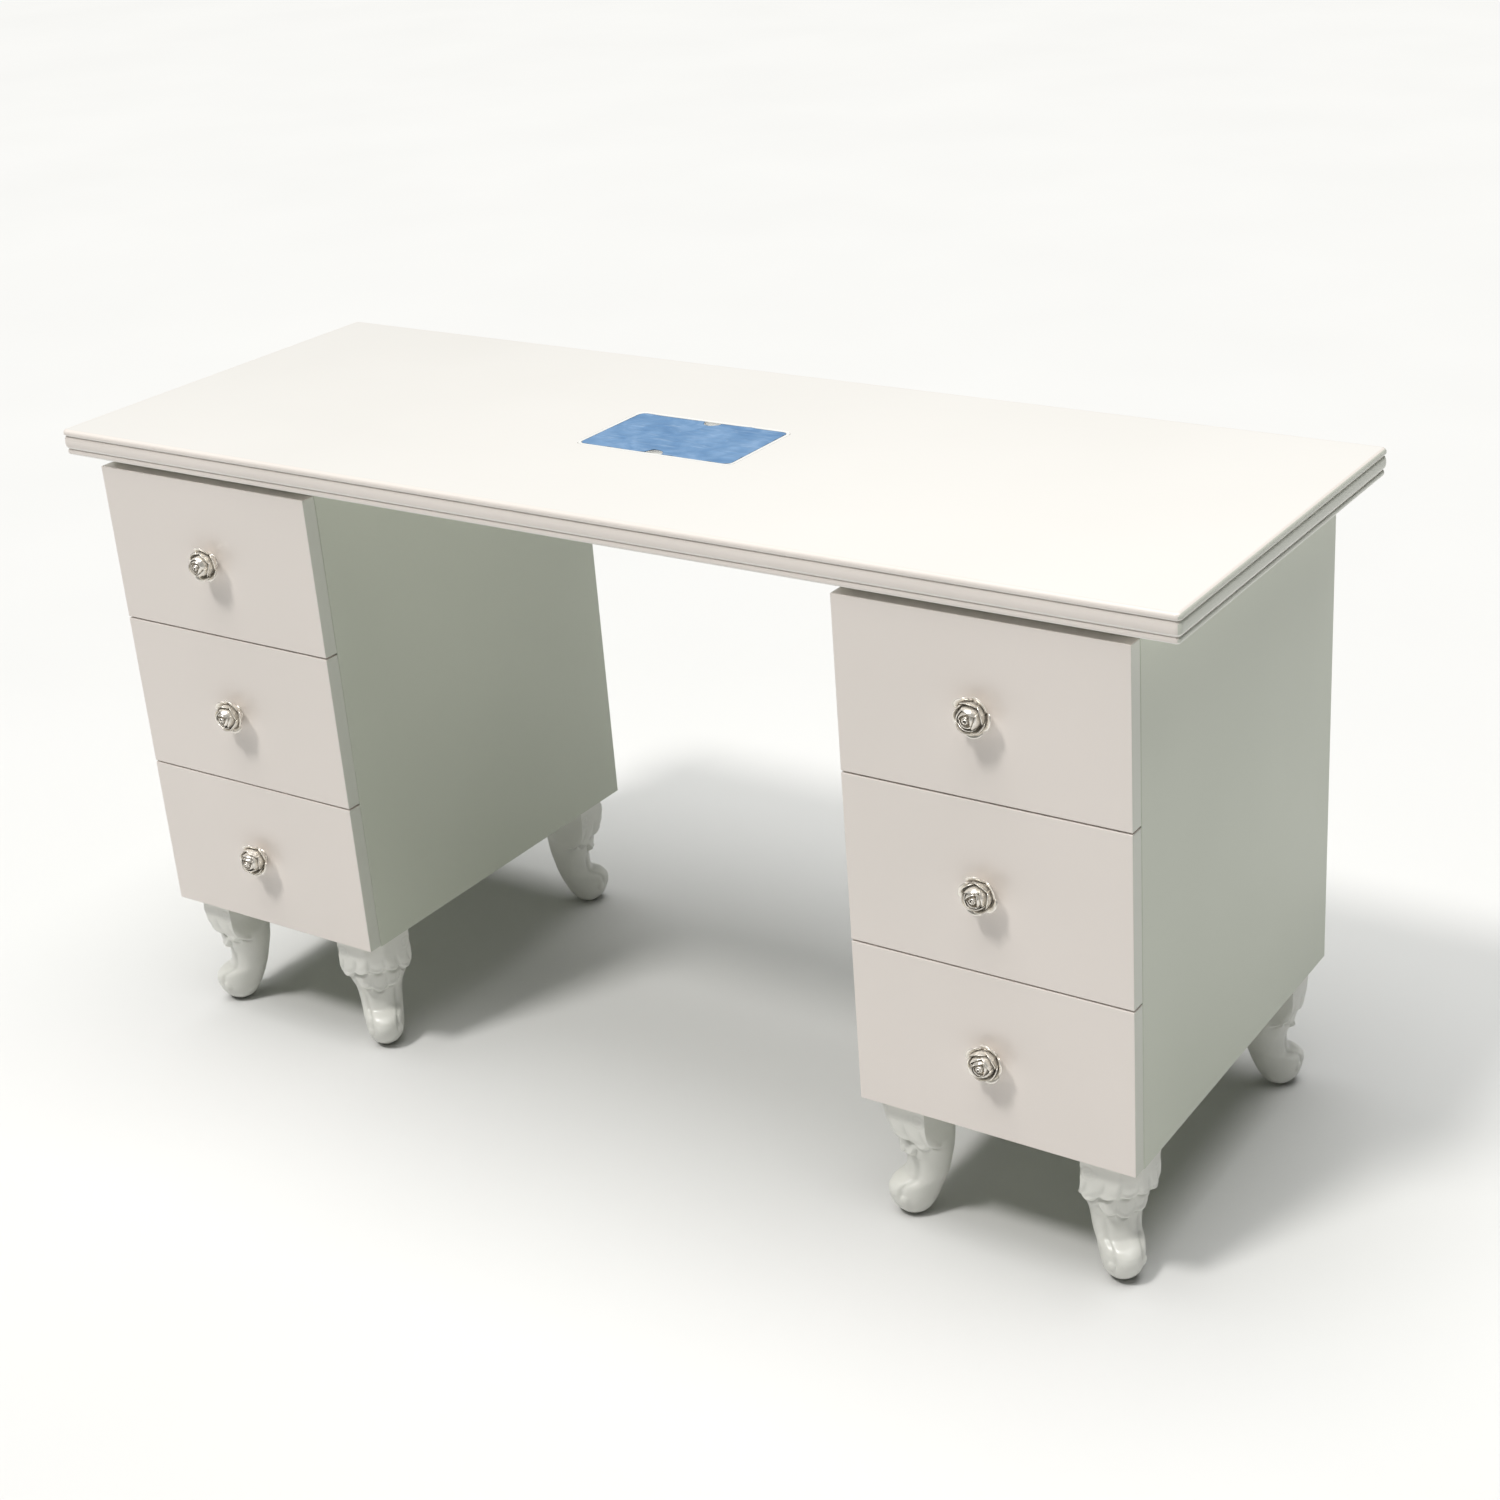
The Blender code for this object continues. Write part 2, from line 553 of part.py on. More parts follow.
def make_vent_tray():
    """The insert that lines the hole: flange, ledge, walls, finger pockets and a floor."""
    recess_bottom = COVER_BOTTOM - TOUCH_GAP
    tray = rounded_plate("vent_tray", (VENT_LENGTH + 2 * FLANGE_WIDTH, VENT_DEPTH + 2 * FLANGE_WIDTH),
                         VENT_CORNER + FLANGE_WIDTH, HEIGHT - FLANGE, HEIGHT - 0.0002, TRAY_PLASTIC, 3)
    body = rounded_plate("tray_body", (WELL_LENGTH + 2 * TRAY_WALL, WELL_DEPTH + 2 * TRAY_WALL),
                         VENT_CORNER, TRAY_BOTTOM, HEIGHT - FLANGE / 2, TRAY_PLASTIC, 3)
    boolean(tray, as_cutter(body), "UNION")
    seat = rounded_plate("cover_seat", (VENT_LENGTH + 2 * TOUCH_GAP, VENT_DEPTH + 2 * TOUCH_GAP),
                         VENT_CORNER, recess_bottom, HEIGHT + OVERCUT, TRAY_PLASTIC, 3)
    boolean(tray, as_cutter(seat))
    well = rounded_plate("tray_well", (WELL_LENGTH, WELL_DEPTH), VENT_CORNER - TRAY_WALL,
                         TRAY_BOTTOM + TRAY_WALL, HEIGHT + OVERCUT, TRAY_PLASTIC, 3)
    boolean(tray, as_cutter(well))
    boolean(tray, cutter_cylinder("tray_outlet", FAN_BORE, 2 * OVERCUT, (0.0, MIDDLE_Y, TRAY_BOTTOM)))
    make_finger_pocket(tray, "front", MIDDLE_Y - WELL_DEPTH / 2, 1, recess_bottom)
    make_finger_pocket(tray, "back", MIDDLE_Y + WELL_DEPTH / 2, -1, recess_bottom)


def make_finger_pocket(tray, name, edge, inwards, top):
    """A thickened piece of wall with a half-round hollow in it, under a notch of the cover."""
    wall = NOTCH_RADIUS + 0.004 - LEDGE
    low_z = HEIGHT - 0.012
    sides = sorted((edge - inwards * TRAY_WALL / 2, edge + inwards * wall))
    pocket = add_box(f"finger_pocket_{name}", (-POCKET_LENGTH / 2, sides[0], low_z),
                     (POCKET_LENGTH / 2, sides[1], top), TRAY_PLASTIC)
    boolean(tray, as_cutter(pocket), "UNION")
    hollow = plate_mesh("finger_scoop", half_disc(NOTCH_RADIUS, inwards), 2 * OVERCUT)
    scoop = add(f"finger_scoop_{name}", hollow, TRAY_PLASTIC,
                (0.0, edge - inwards * LEDGE, top - SCOOP_DEPTH + OVERCUT))
    boolean(tray, as_cutter(scoop))


def make_filter():
    low = TRAY_BOTTOM + TRAY_WALL + TOUCH_GAP
    clearance = 0.001
    rounded_plate("filter_mat", (WELL_LENGTH - 2 * clearance, WELL_DEPTH - 2 * clearance),
                  VENT_CORNER - TRAY_WALL, low, low + FILTER, FELT, 3)


def make_fan():
    """A square axial fan: its frame holds a spindle on four struts, and the rotor turns on it."""
    middle = (0.0, MIDDLE_Y, (FAN_TOP + FAN_BOTTOM) / 2)
    frame = add("fan_frame", box_mesh("fan_frame", (FAN_SIDE, FAN_SIDE, FAN_DEPTH)), DARK_PLASTIC, middle)
    boolean(frame, cutter_cylinder("fan_bore", FAN_BORE, FAN_DEPTH + 0.015, middle))
    strut_length = 2 * FAN_BORE + 0.004
    mount_z = FAN_BOTTOM + STRUT_DEPTH / 2
    for turn in range(2):
        bar = box_mesh("strut", (strut_length, STRUT_WIDTH, STRUT_DEPTH))
        strut = add(f"strut_{turn}", bar, DARK_PLASTIC, (0.0, MIDDLE_Y, mount_z),
                    turn=math.radians(45 + 90 * turn))
        boolean(frame, as_cutter(strut), "UNION")
    plate = add("motor_mount", cylinder_mesh("motor_mount", HUB_RADIUS, STRUT_DEPTH + 0.0004), DARK_PLASTIC,
                (0.0, MIDDLE_Y, mount_z))
    boolean(frame, as_cutter(plate), "UNION")
    spindle_foot = FAN_BOTTOM + STRUT_DEPTH / 3
    spindle_top = FAN_BOTTOM + SPINDLE_HEIGHT
    spindle = add("spindle", cylinder_mesh("spindle", SPINDLE_RADIUS, spindle_top - spindle_foot, 24),
                  DARK_PLASTIC, (0.0, MIDDLE_Y, (spindle_top + spindle_foot) / 2))
    boolean(frame, as_cutter(spindle), "UNION")
    make_rotor(FAN_BOTTOM + STRUT_DEPTH + 0.0010, FAN_TOP - 0.0015, spindle_top + 0.0005)


def make_rotor(low, high, bore_top):
    """A closed hub with pitched blades; its blind bore runs on the spindle."""
    middle = (0.0, MIDDLE_Y, (low + high) / 2)
    rotor = add("fan_rotor", cylinder_mesh("fan_rotor", HUB_RADIUS, high - low), DARK_PLASTIC, middle)
    sunk = 0.002
    blade_length = ROTOR_RADIUS - HUB_RADIUS + sunk
    blade_middle = (HUB_RADIUS - sunk + ROTOR_RADIUS) / 2
    for number in range(BLADES):
        angle = 2 * math.pi * number / BLADES
        place = (blade_middle * math.cos(angle), MIDDLE_Y + blade_middle * math.sin(angle), middle[2])
        blade = add(f"blade_{number}", box_mesh("blade", (blade_length, BLADE_THICKNESS, BLADE_WIDTH)),
                    DARK_PLASTIC, place)
        blade.rotation_euler = (BLADE_PITCH, 0.0, angle)
        boolean(rotor, as_cutter(blade), "UNION")
    bore = cutter_cylinder("rotor_bore", SPINDLE_RADIUS + SPINDLE_CLEARANCE, bore_top - low + OVERCUT,
                           (0.0, MIDDLE_Y, (bore_top + low - OVERCUT) / 2), 24)
    boolean(rotor, bore)


def make_fan_housing():
    """A shallow box under the tabletop, with a flange, an outlet and cut-outs for its fittings."""
    half_x = HOUSING_LENGTH / 2
    half_y = HOUSING_DEPTH / 2
    housing = add_box("fan_housing", (-half_x, MIDDLE_Y - half_y, HOUSING_BOTTOM),
                      (half_x, MIDDLE_Y + half_y, CARCASS_TOP - HOUSING_WALL / 2), TRAY_PLASTIC)
    rim = add_box("housing_rim", (-half_x - HOUSING_FLANGE, MIDDLE_Y - half_y - HOUSING_FLANGE,
                                  CARCASS_TOP - HOUSING_WALL),
                  (half_x + HOUSING_FLANGE, MIDDLE_Y + half_y + HOUSING_FLANGE, CARCASS_TOP), TRAY_PLASTIC)
    boolean(housing, as_cutter(rim), "UNION")
    boolean(housing, cutter_box("housing_inside",
                                (-half_x + HOUSING_WALL, MIDDLE_Y - half_y + HOUSING_WALL, HOUSING_FLOOR_TOP),
                                (half_x - HOUSING_WALL, MIDDLE_Y + half_y - HOUSING_WALL, HEIGHT)))
    outlet = cutter_cylinder("housing_outlet", FAN_BORE, 2 * OVERCUT, (0.0, MIDDLE_Y, HOUSING_BOTTOM))
    boolean(housing, outlet)
    fitting_z = (HOUSING_BOTTOM + CARCASS_TOP) / 2 - FITTING_DROP
    make_switch(housing, (FITTING_X, MIDDLE_Y - half_y, fitting_z))
    make_inlet(housing, (-FITTING_X, MIDDLE_Y + half_y, fitting_z))


def make_switch(housing, place):
    """A rocker in the housing's front wall, at rest in its off position."""
    x, y, z = place
    half_width = SWITCH_WIDTH / 2
    half_height = SWITCH_HEIGHT / 2
    reach_x = half_width + SWITCH_PLAY
    reach_z = half_height + SWITCH_PLAY
    boolean(housing, cutter_box("switch_hole", (x - reach_x, y - OVERCUT, z - reach_z),
                                (x + reach_x, y + OVERCUT, z + reach_z)))
    rim, waist, heel, belly = 0.0030, 0.0018, -0.0025, -0.0060      # outwards from the pivot
    outline = ((heel, -half_height), (rim, -half_height), (waist, 0.0),
               (rim, half_height), (heel, half_height), (belly, 0.0))
    across = math.cos(SWITCH_TILT)
    up = math.sin(SWITCH_TILT)
    tilted = [(out * across - height * up, out * up + height * across) for out, height in outline]
    rocker = add("rocker_switch", plate_mesh("rocker_switch", tilted, SWITCH_WIDTH), DARK_PLASTIC,
                 (x, y + HOUSING_WALL / 2, z))
    rocker.rotation_euler = (math.radians(90), 0.0, math.radians(-90))


def make_inlet(housing, place):
    """A two-pin appliance inlet in the housing's back wall."""
    x, y, z = place
    half_width = INLET_WIDTH / 2
    half_height = INLET_HEIGHT / 2
    inner = y - HOUSING_WALL
    boolean(housing, cutter_box("inlet_hole", (x - half_width, y - OVERCUT, z - half_height),
                                (x + half_width, y + OVERCUT, z + half_height)))
    snug_x = half_width - TOUCH_GAP
    snug_z = half_height - TOUCH_GAP
    inlet = add_box("power_inlet", (x - snug_x, inner - INLET_REACH, z - snug_z),
                    (x + snug_x, y + 0.0010, z + snug_z), DARK_PLASTIC)
    rim = 0.003
    face = add_box("inlet_face", (x - half_width - rim, y + TOUCH_GAP, z - half_height - rim),
                   (x + half_width + rim, y + 0.0022, z + half_height + rim), DARK_PLASTIC)
    boolean(inlet, as_cutter(face), "UNION")
    socket_width, socket_depth, socket_height = INLET_SOCKET
    socket = cutter_box("inlet_socket", (x - socket_width / 2, inner - socket_depth, z - socket_height / 2),
                        (x + socket_width / 2, y + OVERCUT, z + socket_height / 2))
    boolean(inlet, socket)
    for sign in (-1, 1):
        pin = as_cutter(add(f"inlet_pin_{'left' if sign < 0 else 'right'}",
                            cylinder_mesh("inlet_pin", INLET_PIN_RADIUS, INLET_PIN_LENGTH, 12), SILVER,
                            (x + sign * INLET_PIN_PITCH / 2, inner - socket_depth / 2, z)))
        pin.rotation_euler = (math.radians(90), 0.0, 0.0)
        boolean(inlet, pin, "UNION")


def make_guard():
    """A moulded finger guard in the outlet: flat rings on a cross of ribs."""
    half_depth = GUARD_DEPTH / 2
    middle = (0.0, MIDDLE_Y, HOUSING_BOTTOM + half_depth)
    span = 2 * FAN_BORE - GUARD_RIB
    guard = add("fan_guard", box_mesh("fan_guard", (span, GUARD_RIB, GUARD_DEPTH)), DARK_PLASTIC, middle)
    cross = add("guard_rib", box_mesh("guard_rib", (GUARD_RIB, span, GUARD_DEPTH - 0.0002)), DARK_PLASTIC,
                middle)
    boolean(guard, as_cutter(cross), "UNION")
    for number, radius in enumerate(GUARD_RINGS):
        half = 0.0012
        profile = ((radius - half, -half_depth), (radius - half, half_depth), (radius + half, half_depth),
                   (radius + half, -half_depth), (radius - half, -half_depth))
        ring = turned(f"guard_ring_{number}", profile, 32, DARK_PLASTIC,
                      (0.0, MIDDLE_Y, HOUSING_BOTTOM + half_depth + 0.00005))
        boolean(guard, as_cutter(ring), "UNION")


make_tabletop()
make_vent_cover()
make_vent_tray()
make_filter()
make_fan()
make_fan_housing()
make_guard()
shared_box = drawer_box_mesh()
shared_leg = leg_mesh()
for side_name, side_sign in (("left", -1), ("right", 1)):
    make_carcass(side_name, side_sign)
    make_drawers(side_name, side_sign, shared_box)
    make_legs(side_name, side_sign, shared_leg)
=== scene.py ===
"""Looks for the manicure table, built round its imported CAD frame. Metres, +Z up."""

import math

import bmesh
import bpy
import numpy as np
from mathutils import Matrix, Vector, noise


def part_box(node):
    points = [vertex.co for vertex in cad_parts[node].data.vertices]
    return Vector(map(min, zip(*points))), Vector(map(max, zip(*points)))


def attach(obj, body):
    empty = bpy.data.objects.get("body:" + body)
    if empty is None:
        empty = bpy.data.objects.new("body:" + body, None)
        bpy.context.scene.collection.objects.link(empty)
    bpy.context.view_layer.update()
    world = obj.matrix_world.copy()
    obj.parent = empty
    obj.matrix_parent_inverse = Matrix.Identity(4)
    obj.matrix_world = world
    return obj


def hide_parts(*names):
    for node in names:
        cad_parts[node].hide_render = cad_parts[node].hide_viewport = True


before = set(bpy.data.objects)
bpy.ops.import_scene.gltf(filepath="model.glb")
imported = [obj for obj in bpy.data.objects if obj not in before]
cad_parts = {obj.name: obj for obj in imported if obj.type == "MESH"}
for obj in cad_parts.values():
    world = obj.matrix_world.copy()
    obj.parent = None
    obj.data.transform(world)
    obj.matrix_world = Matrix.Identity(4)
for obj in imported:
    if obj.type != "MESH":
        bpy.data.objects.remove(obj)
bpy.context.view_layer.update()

MM = 0.001
SIDES = ("left", "right")
LEVELS = ("top", "middle", "bottom")


# ---------------------------------------------------------------- mesh helpers
def mesh_object(name, verts, faces, material, sharp=30.0):
    """A smooth-shaded mesh object whose creases over `sharp` degrees stay hard."""
    mesh = bpy.data.meshes.new(name)
    mesh.from_pydata([tuple(v) for v in verts], [], faces)
    mesh.validate()
    mesh.shade_smooth()
    mesh.set_sharp_from_angle(angle=math.radians(sharp))
    made = bpy.data.objects.new(name, mesh)
    bpy.context.scene.collection.objects.link(made)
    mesh.materials.append(material)
    return made


def weighted_normals(piece):
    """Keeps the broad flat faces flat in the shading beside their rounded edges."""
    modifier = piece.modifiers.new("weighted_normals", "WEIGHTED_NORMAL")
    modifier.keep_sharp = True
    modifier.weight = 80
    return piece


def rounded_outline(half_x, half_y, radius, steps=8):
    """Corner points of a rounded rectangle, counter-clockwise from the +X side."""
    radius = max(radius, 0.05 * MM)
    points = []
    for corner, (sign_x, sign_y) in enumerate(((1, 1), (-1, 1), (-1, -1), (1, -1))):
        middle_x = sign_x * (half_x - radius)
        middle_y = sign_y * (half_y - radius)
        for step in range(steps + 1):
            angle = math.radians(90) * (corner + step / steps)
            points.append((middle_x + radius * math.cos(angle), middle_y + radius * math.sin(angle)))
    return points


def ring_faces(rings, sides, closed=False):
    """Quads between neighbouring rings; a closed stack joins its last ring to its first."""
    faces = []
    pairs = [(k, k + 1) for k in range(rings - 1)]
    if closed:
        pairs.append((rings - 1, 0))
    for low, high in pairs:
        for side in range(sides):
            following = (side + 1) % sides
            faces.append((low * sides + side, low * sides + following,
                          high * sides + following, high * sides + side))
    return faces


def oval(middle_d, middle_z, depth, height, start, end, steps):
    """Points of an elliptic arc in a profile's plane; the angles are in degrees."""
    points = []
    for step in range(steps + 1):
        angle = math.radians(start + (end - start) * step / steps)
        points.append((middle_d - depth * math.cos(angle), middle_z + height * math.sin(angle)))
    return points


def rounded_box(name, low, high, radius, material, steps):
    """A box with rounded edges, whose broad faces stay flat in the shading."""
    shape = bmesh.new()
    bmesh.ops.create_cube(shape, size=1.0)
    size = Vector(high) - Vector(low)
    bmesh.ops.scale(shape, vec=size, verts=shape.verts)
    bmesh.ops.translate(shape, vec=(Vector(low) + Vector(high)) / 2, verts=shape.verts)
    bmesh.ops.bevel(shape, geom=list(shape.edges), offset=radius, segments=steps, profile=0.5,
                    affect="EDGES")
    mesh = bpy.data.meshes.new(name)
    shape.to_mesh(mesh)
    shape.free()
    mesh.shade_smooth()
    made = bpy.data.objects.new(name, mesh)
    bpy.context.scene.collection.objects.link(made)
    mesh.materials.append(material)
    return weighted_normals(made)


def turned(profile, sides):
    """Vertices and faces of a profile of (radius, height) turned about Z, with flat ends."""
    verts = []
    for radius, height in profile:
        for side in range(sides):
            angle = 2 * math.pi * side / sides
            verts.append((radius * math.cos(angle), radius * math.sin(angle), height))
    faces = ring_faces(len(profile), sides)
    first = tuple(range(sides - 1, -1, -1))
    last = tuple(range((len(profile) - 1) * sides, len(profile) * sides))
    return verts, faces + [first, last]


# ---------------------------------------------------------------- materials
class Shader:
    """A Principled material with short calls for its procedural parts."""

    def __init__(self, name, roughness=0.4, metallic=0.0, **sockets):
        self.material = bpy.data.materials.new(name)
        self.material.use_nodes = True
        self.nodes = self.material.node_tree.nodes
        self.links = self.material.node_tree.links
        self.principled = self.nodes["Principled BSDF"]
        self.principled.inputs["Roughness"].default_value = roughness
        self.principled.inputs["Metallic"].default_value = metallic
        for socket, value in sockets.items():
            self.principled.inputs[socket.replace("_", " ")].default_value = value
        coordinates = self.nodes.new("ShaderNodeTexCoord")
        self.place = coordinates.outputs["Object"]
        self.height = None

    def stretched(self, scale, turn=(0, 0, 0)):
        """The object's own coordinates, scaled and turned, for a pattern with a direction."""
        mapping = self.nodes.new("ShaderNodeMapping")
        mapping.inputs["Scale"].default_value = scale
        mapping.inputs["Rotation"].default_value = turn
        self.links.new(self.place, mapping.inputs["Vector"])
        return mapping.outputs["Vector"]

    def noise(self, scale, detail, place=None, distortion=0.0, roughness=0.5):
        made = self.nodes.new("ShaderNodeTexNoise")
        made.inputs["Scale"].default_value = scale
        made.inputs["Detail"].default_value = detail
        made.inputs["Distortion"].default_value = distortion
        made.inputs["Roughness"].default_value = roughness
        self.links.new(place or self.place, made.inputs["Vector"])
        return made.outputs["Fac"]

    def cells(self, scale):
        made = self.nodes.new("ShaderNodeTexVoronoi")
        made.inputs["Scale"].default_value = scale
        self.links.new(self.place, made.inputs["Vector"])
        return made.outputs["Distance"]

    def attribute(self, name):
        made = self.nodes.new("ShaderNodeAttribute")
        made.attribute_name = name
        return made.outputs["Fac"]

    def ramp(self, value, *stops):
        """Maps a value to colours; each stop is (position, colour)."""
        made = self.nodes.new("ShaderNodeValToRGB")
        band = made.color_ramp
        while len(band.elements) < len(stops):
            band.elements.new(0.5)
        for element, (position, colour) in zip(band.elements, stops):
            element.position = position
            element.color = (*colour, 1.0)
        self.links.new(value, made.inputs["Fac"])
        return made.outputs["Color"]

    def rescale(self, value, low, high, from_low=0.0, from_high=1.0):
        """Maps a value from one range to another, and holds it at the ends."""
        made = self.nodes.new("ShaderNodeMapRange")
        made.inputs["From Min"].default_value = from_low
        made.inputs["From Max"].default_value = from_high
        made.inputs["To Min"].default_value = low
        made.inputs["To Max"].default_value = high
        self.links.new(value, made.inputs["Value"])
        return made.outputs["Result"]

    def blend(self, factor, first, second):
        """Goes from the first colour to the second as the factor rises from 0 to 1."""
        made = self.nodes.new("ShaderNodeMix")
        made.data_type = "RGBA"
        self.links.new(factor, made.inputs["Factor"])
        for socket, colour in (("A", first), ("B", second)):
            target = next(s for s in made.inputs if s.name == socket and s.type == "RGBA")
            if isinstance(colour, tuple):
                target.default_value = (*colour, 1.0)
            else:
                self.links.new(colour, target)
        return next(s for s in made.outputs if s.type == "RGBA")

    def colour(self, output):
        self.links.new(output, self.principled.inputs["Base Color"])

    def roughness(self, output):
        self.links.new(output, self.principled.inputs["Roughness"])

    def bump(self, output, distance, strength=1.0):
        """Adds a bump of the stated depth on top of those already there."""
        made = self.nodes.new("ShaderNodeBump")
        made.inputs["Strength"].default_value = strength
        made.inputs["Distance"].default_value = distance
        self.links.new(output, made.inputs["Height"])
        if self.height is not None:
            self.links.new(self.height, made.inputs["Normal"])
        self.height = made.outputs["Normal"]
        self.links.new(self.height, self.principled.inputs["Normal"])


def lacquer(name, light, shade, gloss):
    """Sprayed lacquer: slow tint drift, faint orange peel and an uneven gloss."""
    made = Shader(name, roughness=gloss, Coat_Weight=0.15, Coat_Roughness=0.12)
    made.colour(made.ramp(made.noise(3.0, 2.0), (0.3, shade), (0.7, light)))
    made.roughness(made.rescale(made.noise(14.0, 4.0), gloss * 0.94, gloss * 1.08))
    made.bump(made.noise(110.0, 2.0), 0.00003)
    return made.material


def carved_lacquer(name, light, shade, recess):
    """The legs' lacquer, with painted shade darkening the hollows of the carving."""
    made = Shader(name, roughness=0.33, Coat_Weight=0.15, Coat_Roughness=0.22)
    tint = made.ramp(made.noise(22.0, 3.0), (0.3, shade), (0.7, light))
    # The hollows blend towards the recess colour: painted shade.
    made.colour(made.blend(made.attribute("painted_shade"), tint, recess))
    made.roughness(made.rescale(made.noise(60.0, 4.0), 0.29, 0.38))
    made.bump(made.noise(300.0, 2.0), 0.0001)
    made.bump(made.noise(75.0, 3.0), 0.0004, 0.6)
    return made.material


def moulded(name, light, shade, gloss, grain=900.0, depth=0.00005):
    """Moulded plastic with a fine spark-eroded texture."""
    made = Shader(name, roughness=gloss)
    made.colour(made.ramp(made.noise(45.0, 3.0), (0.3, shade), (0.7, light)))
    made.roughness(made.rescale(made.noise(120.0, 3.0), gloss * 0.8, gloss * 1.25))
    made.bump(made.noise(grain, 2.0), depth)
    return made.material


def polished_metal(name, light, shade, gloss, streak=(1, 1, 1), scale=90.0, metallic=1.0):
    """Bright metal; the streak stretches its polishing marks along an axis."""
    made = Shader(name, roughness=gloss, metallic=metallic)
    place = made.stretched(streak)
    made.colour(made.ramp(made.noise(scale, 4.0, place), (0.3, shade), (0.7, light)))
    made.roughness(made.rescale(made.noise(scale * 3, 4.0, place), gloss * 0.6, gloss * 1.6))
    made.bump(made.noise(scale * 8, 2.0, place), 0.00003)
    return made.material


def silver_plate(name):
    """The knobs' plating: bright on the petals' rims, with painted shade darkening the folds."""
    made = Shader(name, roughness=0.24, metallic=0.62)
    bright = made.ramp(made.noise(140.0, 4.0), (0.3, (0.85, 0.81, 0.74)), (0.7, (0.94, 0.90, 0.84)))
    # Painted shade: the folds blend towards a dark warm grey.
    made.colour(made.blend(made.attribute("painted_shade"), bright, (0.40, 0.36, 0.29)))
    made.roughness(made.rescale(made.noise(320.0, 4.0), 0.19, 0.268))
    made.bump(made.noise(500.0, 3.0), 0.0001)
    return made.material


def birch(name):
    """Clear-coated birch board for the drawer boxes, its grain running front to back."""
    made = Shader(name, roughness=0.42)
    along = made.stretched((9.0, 1.2, 9.0))
    grain = made.noise(14.0, 8.0, along, 1.6, 0.62)
    fine = made.noise(120.0, 4.0, along)
    base = made.ramp(grain, (0.30, (0.52, 0.37, 0.22)), (0.52, (0.66, 0.50, 0.33)),
                     (0.72, (0.74, 0.60, 0.42)))
    pores = made.rescale(fine, 0.0, 0.28, 0.55, 0.8)
    made.colour(made.blend(pores, base, (0.40, 0.27, 0.15)))
    made.roughness(made.rescale(grain, 0.34, 0.52))
    made.bump(fine, 0.00012)
    return made.material


def protective_film(name):
    """Blue masking film: cloudy tint, whitened creases, small trapped air bubbles."""
    made = Shader(name, roughness=0.34, Specular_IOR_Level=0.45)
    clouds = made.noise(28.0, 5.0, distortion=0.8)
    blue = made.ramp(clouds, (0.30, (0.125, 0.245, 0.440)), (0.50, (0.165, 0.295, 0.490)),
                     (0.72, (0.225, 0.360, 0.560)))
    crease = made.noise(34.0, 2.0, made.stretched((0.5, 2.6, 1.0), (0, 0, 0.45)), 2.2)
    whitened = made.rescale(crease, 0.0, 0.35, 0.60, 0.74)
    made.colour(made.blend(whitened, blue, (0.42, 0.54, 0.70)))
    made.roughness(made.rescale(clouds, 0.24, 0.48))
    made.bump(crease, 0.0007, 0.6)
    made.bump(made.cells(150.0), 0.0002, 0.4)
    return made.material


def felt(name):
    """The filter mat: matted fibres, greyed a little by dust."""
    made = Shader(name, roughness=0.95, Sheen_Weight=0.4)
    fibre = made.noise(420.0, 6.0, made.stretched((1.0, 0.35, 1.0), (0, 0, 0.5)), 2.5)
    made.colour(made.ramp(fibre, (0.3, (0.30, 0.31, 0.32)), (0.7, (0.56, 0.57, 0.58))))
    made.bump(fibre, 0.0008)
    return made.material


WHITE_TOP = lacquer("lacquered_top", (0.860, 0.842, 0.810), (0.840, 0.822, 0.788), 0.22)
# Painted shade: a darker, warmer copy of the top's white lacquer, for faces that look to the front.
FRONT_PAINTED_SHADE = lacquer("lacquered_front", (0.796, 0.738, 0.694), (0.761, 0.708, 0.664), 0.30)
# Painted shade: a darker, greenish copy of the white lacquer, for faces that look to the sides.
SIDE_PAINTED_SHADE = lacquer("lacquered_side_painted_shade", (0.600, 0.615, 0.548), (0.575, 0.590, 0.525), 0.30)
# Painted shade: a much darker, greenish copy of the white lacquer for the carcass panels, with a painted
# green bounce.
CARCASS_PAINTED_SHADE = lacquer("lacquered_carcass", (0.560, 0.592, 0.498), (0.528, 0.562, 0.470), 0.34)
# Partly painted shade: the legs' off-white is set darker for the shade under the pedestals, and the
# recess colour is painted shade for the hollows.
CARVED_SHADED_WHITE = carved_lacquer("carved_leg", (0.770, 0.770, 0.722), (0.735, 0.737, 0.690), (0.42, 0.43, 0.39))
LINER = birch("drawer_liner")
SILVER = silver_plate("silver_knob")
TRAY = moulded("tray_plastic", (0.82, 0.82, 0.80), (0.77, 0.77, 0.75), 0.38)
HOUSING = moulded("housing_plastic", (0.62, 0.63, 0.63), (0.56, 0.57, 0.57), 0.45, 700.0, 0.0001)
BLACK = moulded("dark_plastic", (0.040, 0.041, 0.043), (0.028, 0.029, 0.030), 0.42, 800.0, 0.0001)
RUNNER = moulded("runner_plastic", (0.74, 0.74, 0.72), (0.68, 0.68, 0.66), 0.48)
COVER = polished_metal("cover_metal", (0.84, 0.85, 0.85), (0.76, 0.77, 0.77), 0.40, (1.0, 40.0, 1.0),
                       metallic=0.55)
FILM = protective_film("blue_film")
FELT = felt("filter_felt")
ZINC = polished_metal("zinc_screw", (0.72, 0.72, 0.70), (0.56, 0.56, 0.55), 0.30, scale=300.0)
GLIDE = moulded("glide_nylon", (0.34, 0.33, 0.31), (0.27, 0.26, 0.25), 0.55)


